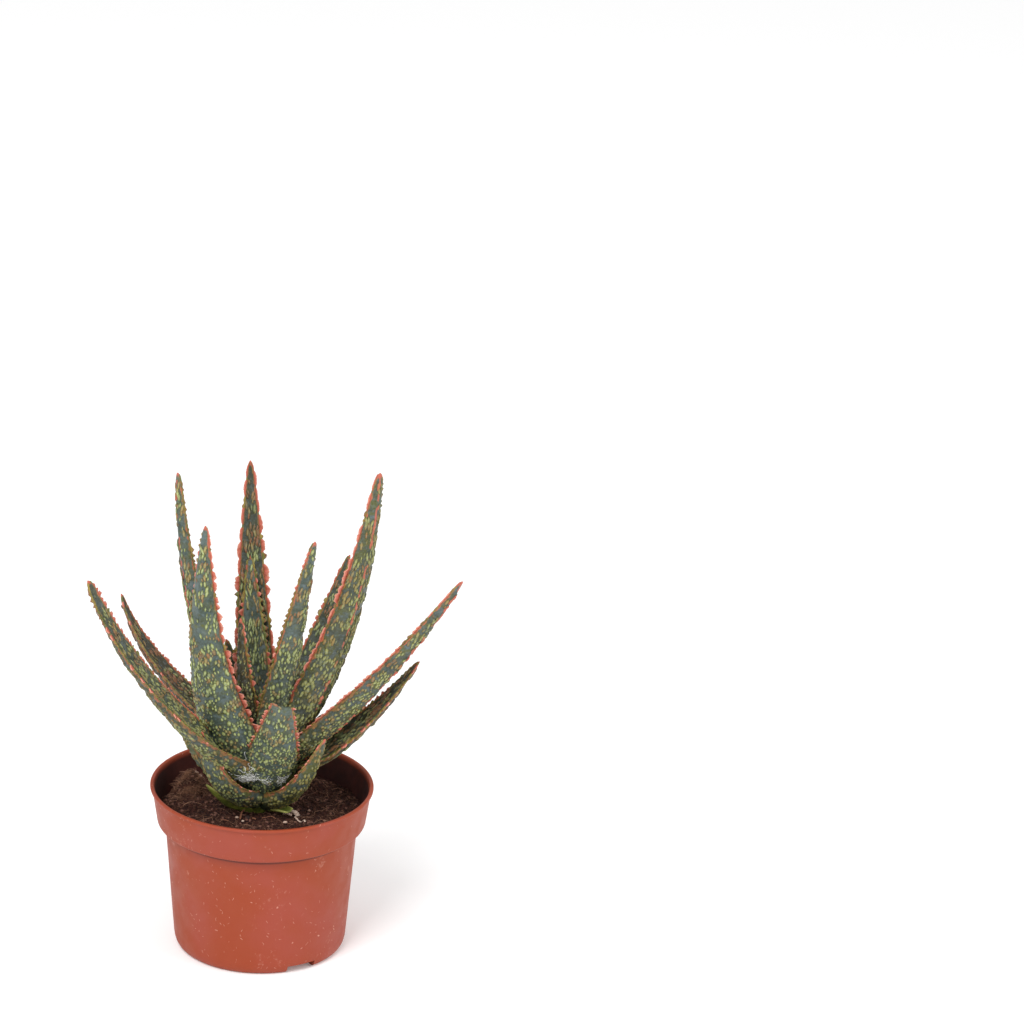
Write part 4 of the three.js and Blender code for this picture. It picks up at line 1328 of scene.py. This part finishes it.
# %% Old leaf parts and stem
OLD_GREEN = colour(88, 100, 38)
OLD_LIME = colour(148, 158, 66)
OLD_EDGE_AND_HIGHLIGHT = colour(176, 176, 96)
OLD_SPECK = colour(190, 170, 110)
REMNANT_GRAIN = 0.5
REMNANT_TOOL_GRAIN = 1.5
BARK_DARK = colour(74, 62, 34)
BARK_PALE = colour(136, 122, 66)
BARK_BANDS = (120.0, 120.0, 700.0)
# Heights in metres between which the bark turns into the green of the growing tip
YOUNG_STEM = (0.084, 0.092)

dry_leaf, dry_tree, dry_shader = new_material("dry_leaf", Roughness=0.5)
dry_here = here_on(dry_tree)
dry_green = mixed(ramp(noise(dry_here, 160.0, 4.0), 0.35, 0.65), OLD_GREEN, OLD_LIME)
# Pale margin: partly the paler edge of old tissue and partly a painted highlight along the lit edge.
dry_green = mixed(ramp(attribute(dry_tree, "margin"), 0.9, 0.1, 0.0, 0.8), dry_green, OLD_EDGE_AND_HIGHLIGHT)
dry_green = mixed(scuff_mask(dry_here, 700.0), dry_green, OLD_SPECK)
wire_up(dry_tree, dry_shader, dry_green, noise(dry_here, 800.0, 3.0), 0.4)

remnants = {}
for name in [name for name in LEAF_SIZES if name not in LEAF_NAMES]:
    remnant = make_leaf(name, REMNANT_GRAIN)[0]
    for tool in tools:
        cut(remnant, tool)
    settle(remnant)
    remnant.data.shade_smooth()
    wear(remnant, dry_leaf)
    tools.append(make_leaf(name, REMNANT_TOOL_GRAIN, GAP)[0])
    remnants[name] = remnant

stem_bark, bark_tree, bark_shader = new_material("stem_bark", Roughness=0.8)
bark_here = here_on(bark_tree)
bark_bands = noise(vector("MULTIPLY", {0: bark_here, 1: BARK_BANDS}), 1.0, 4.0)
bark = mixed(ramp(bark_bands, 0.35, 0.65), BARK_DARK, BARK_PALE)
bark = mixed(ramp(xyz(bark_here)[2], *YOUNG_STEM), bark, FOOT_GREEN)
bark_tree.links.new(bark, bark_shader.inputs["Base Color"])
wear(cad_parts["stem"], stem_bark)
print("old parts:", ", ".join(remnants))

# %% [markdown]
# A few small things lie on the soil in front of the plant: a twig, bits of dry leaf sheath, a curled
# root, a grain, pale lumps. Each is dropped onto the soil under its place, so it lies on what carries
# it. A wisp of white floss hangs on the short front leaf; its threads wander over the skin.

# %% Surfaces to lie on
ABOVE_SOIL = 90


def surface_of(*pieces):
    """The faces of some pieces as one searchable surface in metres."""
    points, faces = [], []
    for piece in pieces:
        start = len(points)
        points += [vertex.co for vertex in piece.data.vertices]
        faces += [[start + k for k in face.vertices] for face in piece.data.polygons]
    return BVHTree.FromPolygons(points, faces)


def dropped(path, surface):
    """Points in millimetres whose heights are counted from the surface below them."""
    result = []
    for x, y, above in path:
        hit = surface.ray_cast(Vector((x, y, ABOVE_SOIL)) * MM, Vector((0, 0, -1)))[0]
        result.append((x, y, hit.z / MM + above))
    return result


def smooth_path(knots, count):
    """Points on a smooth curve through a few knots."""
    knots = np.asarray(knots, float)
    ends = np.vstack([2 * knots[0] - knots[1], knots, 2 * knots[-1] - knots[-2]])
    result = []
    for t in np.linspace(0, len(knots) - 1, count):
        i = min(int(t), len(knots) - 2)
        a, b, c, d = ends[i:i + 4]
        u = t - i
        result.append(0.5 * (2 * b + (c - a) * u + (2 * a - 5 * b + 4 * c - d) * u * u
                             + (3 * b - a - 3 * c + d) * u**3))
    return np.array(result)


def joined(name, parts):
    """One object from several pairs of points and faces, with one tone for each."""
    points, faces, tones = [], [], []
    for (part_points, part_faces), tone in parts:
        start = len(points)
        points += [tuple(point) for point in part_points]
        faces += [[start + k for k in face] for face in part_faces]
        tones += [tone] * len(part_points)
    made = new_object(name, points, faces, tone=tones)
    made.data.shade_smooth()
    return made


ground = surface_of(soil)
print("soil in front of the stem is", round(dropped([(0, -30, 0)], ground)[0][2], 1), "mm high")

# %% Small things on the soil
# Knots in millimetres, with heights above the soil, then radius, flatness and tone
TWIG = ([(-6.9, -7.5, 1.5), (-8.8, -10.7, 1.2), (-9.2, -13.5, 0.7), (-9.4, -16.4, 0.5)], 0.42, 0.9, 0.35)
SHEATH = ([(10.4, -10.4, 1.6), (12.6, -10.9, 1.9), (14.7, -11.2, 1.3)], 1.0, 0.3, 0.7)
TISSUE = ([(14.5, -7.7, 1.6), (16.2, -9.2, 1.8), (17.5, -11.1, 0.8)], 1.1, 0.4, 0.8)
CURL = ([(16.2, -12.3, 0.9), (17.6, -14.9, 0.5), (19.2, -16.6, 0.5), (20.6, -17.6, 0.9), (21.2, -18.4, 0.6)],
        0.45, 0.25, 0.8)
GOLD_BIT = ([(-3.8, -14.6, 0.5), (-2.9, -14.8, 0.8), (-2.0, -15.2, 0.5)], 0.5, 0.4, 0.45)
FRONT_ROOT = ([(0.8, -14.8, 0.5), (3.0, -13.6, 0.9), (5.0, -13.0, 0.7), (7.4, -14.2, 0.4)], 0.16, 1.0, 0.45)
SIDE_ROOT = ([(-18.4, -17.0, 0.4), (-16.4, -17.6, 0.9), (-14.6, -18.6, 0.4)], 0.2, 1.0, 0.45)
# Each strand with the number of sides of its section
STRANDS = ((TWIG, 6), (SHEATH, 8), (TISSUE, 8), (CURL, 8), (GOLD_BIT, 6), (FRONT_ROOT, 5),
           (SIDE_ROOT, 5))
# Place, size and tone of each lump
LUMPS = (((11.8, -19.0), (1.0, 0.8, 0.7), 0.7), ((-32.5, 21.1), (1.6, 1.2, 1.0), 0.72),
         ((-30.2, 20.0), (1.1, 0.9, 0.8), 0.66), ((-10.9, -14.3), (0.9, 0.7, 0.5), 0.7),
         ((-8.0, -17.8), (0.7, 0.6, 0.4), 0.8), ((-6.2, -14.0), (1.4, 1.1, 0.9), 0.0),
         ((22.4, -4.0), (0.8, 0.6, 0.5), 0.6), ((-15.0, -30.0), (0.7, 0.5, 0.4), 0.75),
         ((6.0, -31.0), (0.6, 0.5, 0.4), 0.8), ((30.0, -12.0), (0.7, 0.6, 0.4), 0.55))
LUMP_FINENESS = 2
LUMP_ROUGHNESS = 0.22
LUMP_LIFT = 0.6
RIBBON_WAVE = 0.45
RIBBON_PITCH = 1.7
POINTS_PER_KNOT = 6


def lump(place, size, seed):
    """A rough little ball on the soil."""
    mesh = bmesh.new()
    bmesh.ops.create_icosphere(mesh, subdivisions=LUMP_FINENESS, radius=1.0)
    dice = np.random.default_rng(seed)
    points = np.array([vertex.co for vertex in mesh.verts])
    points *= 1 + dice.uniform(-LUMP_ROUGHNESS, LUMP_ROUGHNESS, (len(points), 1))
    faces = [[vertex.index for vertex in face.verts] for face in mesh.faces]
    mesh.free()
    middle = dropped([(*place, size[2] * LUMP_LIFT)], ground)[0]
    return points * size + middle, faces


small_parts = []
for (knots, radius, flat, tone), sides in STRANDS:
    path = smooth_path(dropped(knots, ground), POINTS_PER_KNOT * len(knots))
    width = radius * (1 + RIBBON_WAVE * np.sin(np.arange(len(path)) * RIBBON_PITCH))
    small_parts.append((thread(path, width, sides, flat), tone))
for seed, (place, size, tone) in enumerate(LUMPS):
    small_parts.append((lump(place, size, seed), tone))
bits = joined("dry_bits", small_parts)
print("dry bits:", triangles(bits), "triangles")

# %% Material of the small things
BIT_DARK = colour(40, 24, 22)
BIT_BROWN = colour(150, 98, 70)
BIT_PALE = colour(226, 204, 186)
BIT_STAIN = colour(124, 76, 58)

dry_bits, bits_tree, bits_shader = new_material("dry_bits", Roughness=0.8)
bits_here, bits_tone = here_on(bits_tree), attribute(bits_tree, "tone")
bits_colour = mixed(ramp(bits_tone, 0.0, 0.4), BIT_DARK, BIT_BROWN)
bits_colour = mixed(ramp(bits_tone, 0.4, 0.95), bits_colour, BIT_PALE)
bits_colour = mixed(ramp(noise(bits_here, 900.0, 3.0), 0.45, 0.7, 0.0, 0.55), bits_colour, BIT_STAIN)
wire_up(bits_tree, bits_shader, bits_colour, noise(bits_here, 1400.0, 3.0), 0.6)
wear(bits, dry_bits)
print("dry bits material:", len(bits_tree.nodes), "nodes")

# %% White floss on the short front leaf
FLOSS_SEED = 12
FLOSS_THREADS = 150
FLOSS_RADIUS = 0.105
FLOSS_STEP = 0.6
FLOSS_STEPS = (6, 16)
FLOSS_CURL = 0.55
FLOSS_LIFT = (0.15, 1.0)
FLOSS_TONES = (0.6, 1.0)
FLOSS_GREY = colour(232, 234, 228)
FLOSS_WHITE = colour(254, 254, 252)
# Middle of each tuft on the leaf, its spread in millimetres and its share of the threads
TUFTS = (((-6.5, -20.5, 94.5), 2.0, 0.7), ((-7.5, -23.0, 99.0), 4.0, 0.08), ((2.0, -22.0, 94.0), 4.5, 0.1),
         ((9.5, -21.5, 94.0), 2.6, 0.12))

floss_ground = surface_of(leaves["leaf_front_short"], leaves["leaf_outer_left"])
dice = np.random.default_rng(FLOSS_SEED)
floss_parts = []
for middle, spread, part in TUFTS:
    for _ in range(round(FLOSS_THREADS * part)):
        point = Vector(middle) + Vector(dice.normal(0, spread / 2, 3))
        way = Vector(dice.normal(0, 1, 3)).normalized()
        lift = dice.uniform(*FLOSS_LIFT)
        path = []
        for _ in range(dice.integers(*FLOSS_STEPS)):
            found, normal, _, _ = floss_ground.find_nearest(point * MM)
            way = (way - normal * way.dot(normal)).normalized()
            path.append(found / MM + normal * lift)
            way = (way + Vector(dice.normal(0, FLOSS_CURL, 3))).normalized()
            point = path[-1] + way * FLOSS_STEP
        floss_parts.append((thread(path, FLOSS_RADIUS), dice.uniform(*FLOSS_TONES)))
floss = joined("white_floss", floss_parts)

floss_white, floss_tree, floss_shader = new_material("floss_white", Roughness=0.7, Sheen_Weight=0.2)
floss_colour = mixed(ramp(attribute(floss_tree, "tone"), *FLOSS_TONES), FLOSS_GREY, FLOSS_WHITE)
floss_tree.links.new(floss_colour, floss_shader.inputs["Base Color"])
wear(floss, floss_white)
print("floss:", triangles(floss), "triangles in", len(floss_parts), "threads")

# %% [markdown]
# Last, every piece rides on the root body, and the solid that a piece stands for is hidden.
# The dry bits and the floss stand for no solid.

# %% Hand the pieces to the frame
stand_ins = [(leaf, name, "leaf_skin") for name, leaf in leaves.items()]
stand_ins += [(remnant, name, "dry_leaf") for name, remnant in remnants.items()]
stand_ins += [(pot, "pot", "pot_plastic"), (soil, "soil", "potting_soil")]
for piece, node, slot in stand_ins:
    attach(piece, "root")
    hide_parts(node)
for piece in (bits, floss):
    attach(piece, "root")
drop(spot, *tools)
print("pieces that stand for a solid:", len(stand_ins))
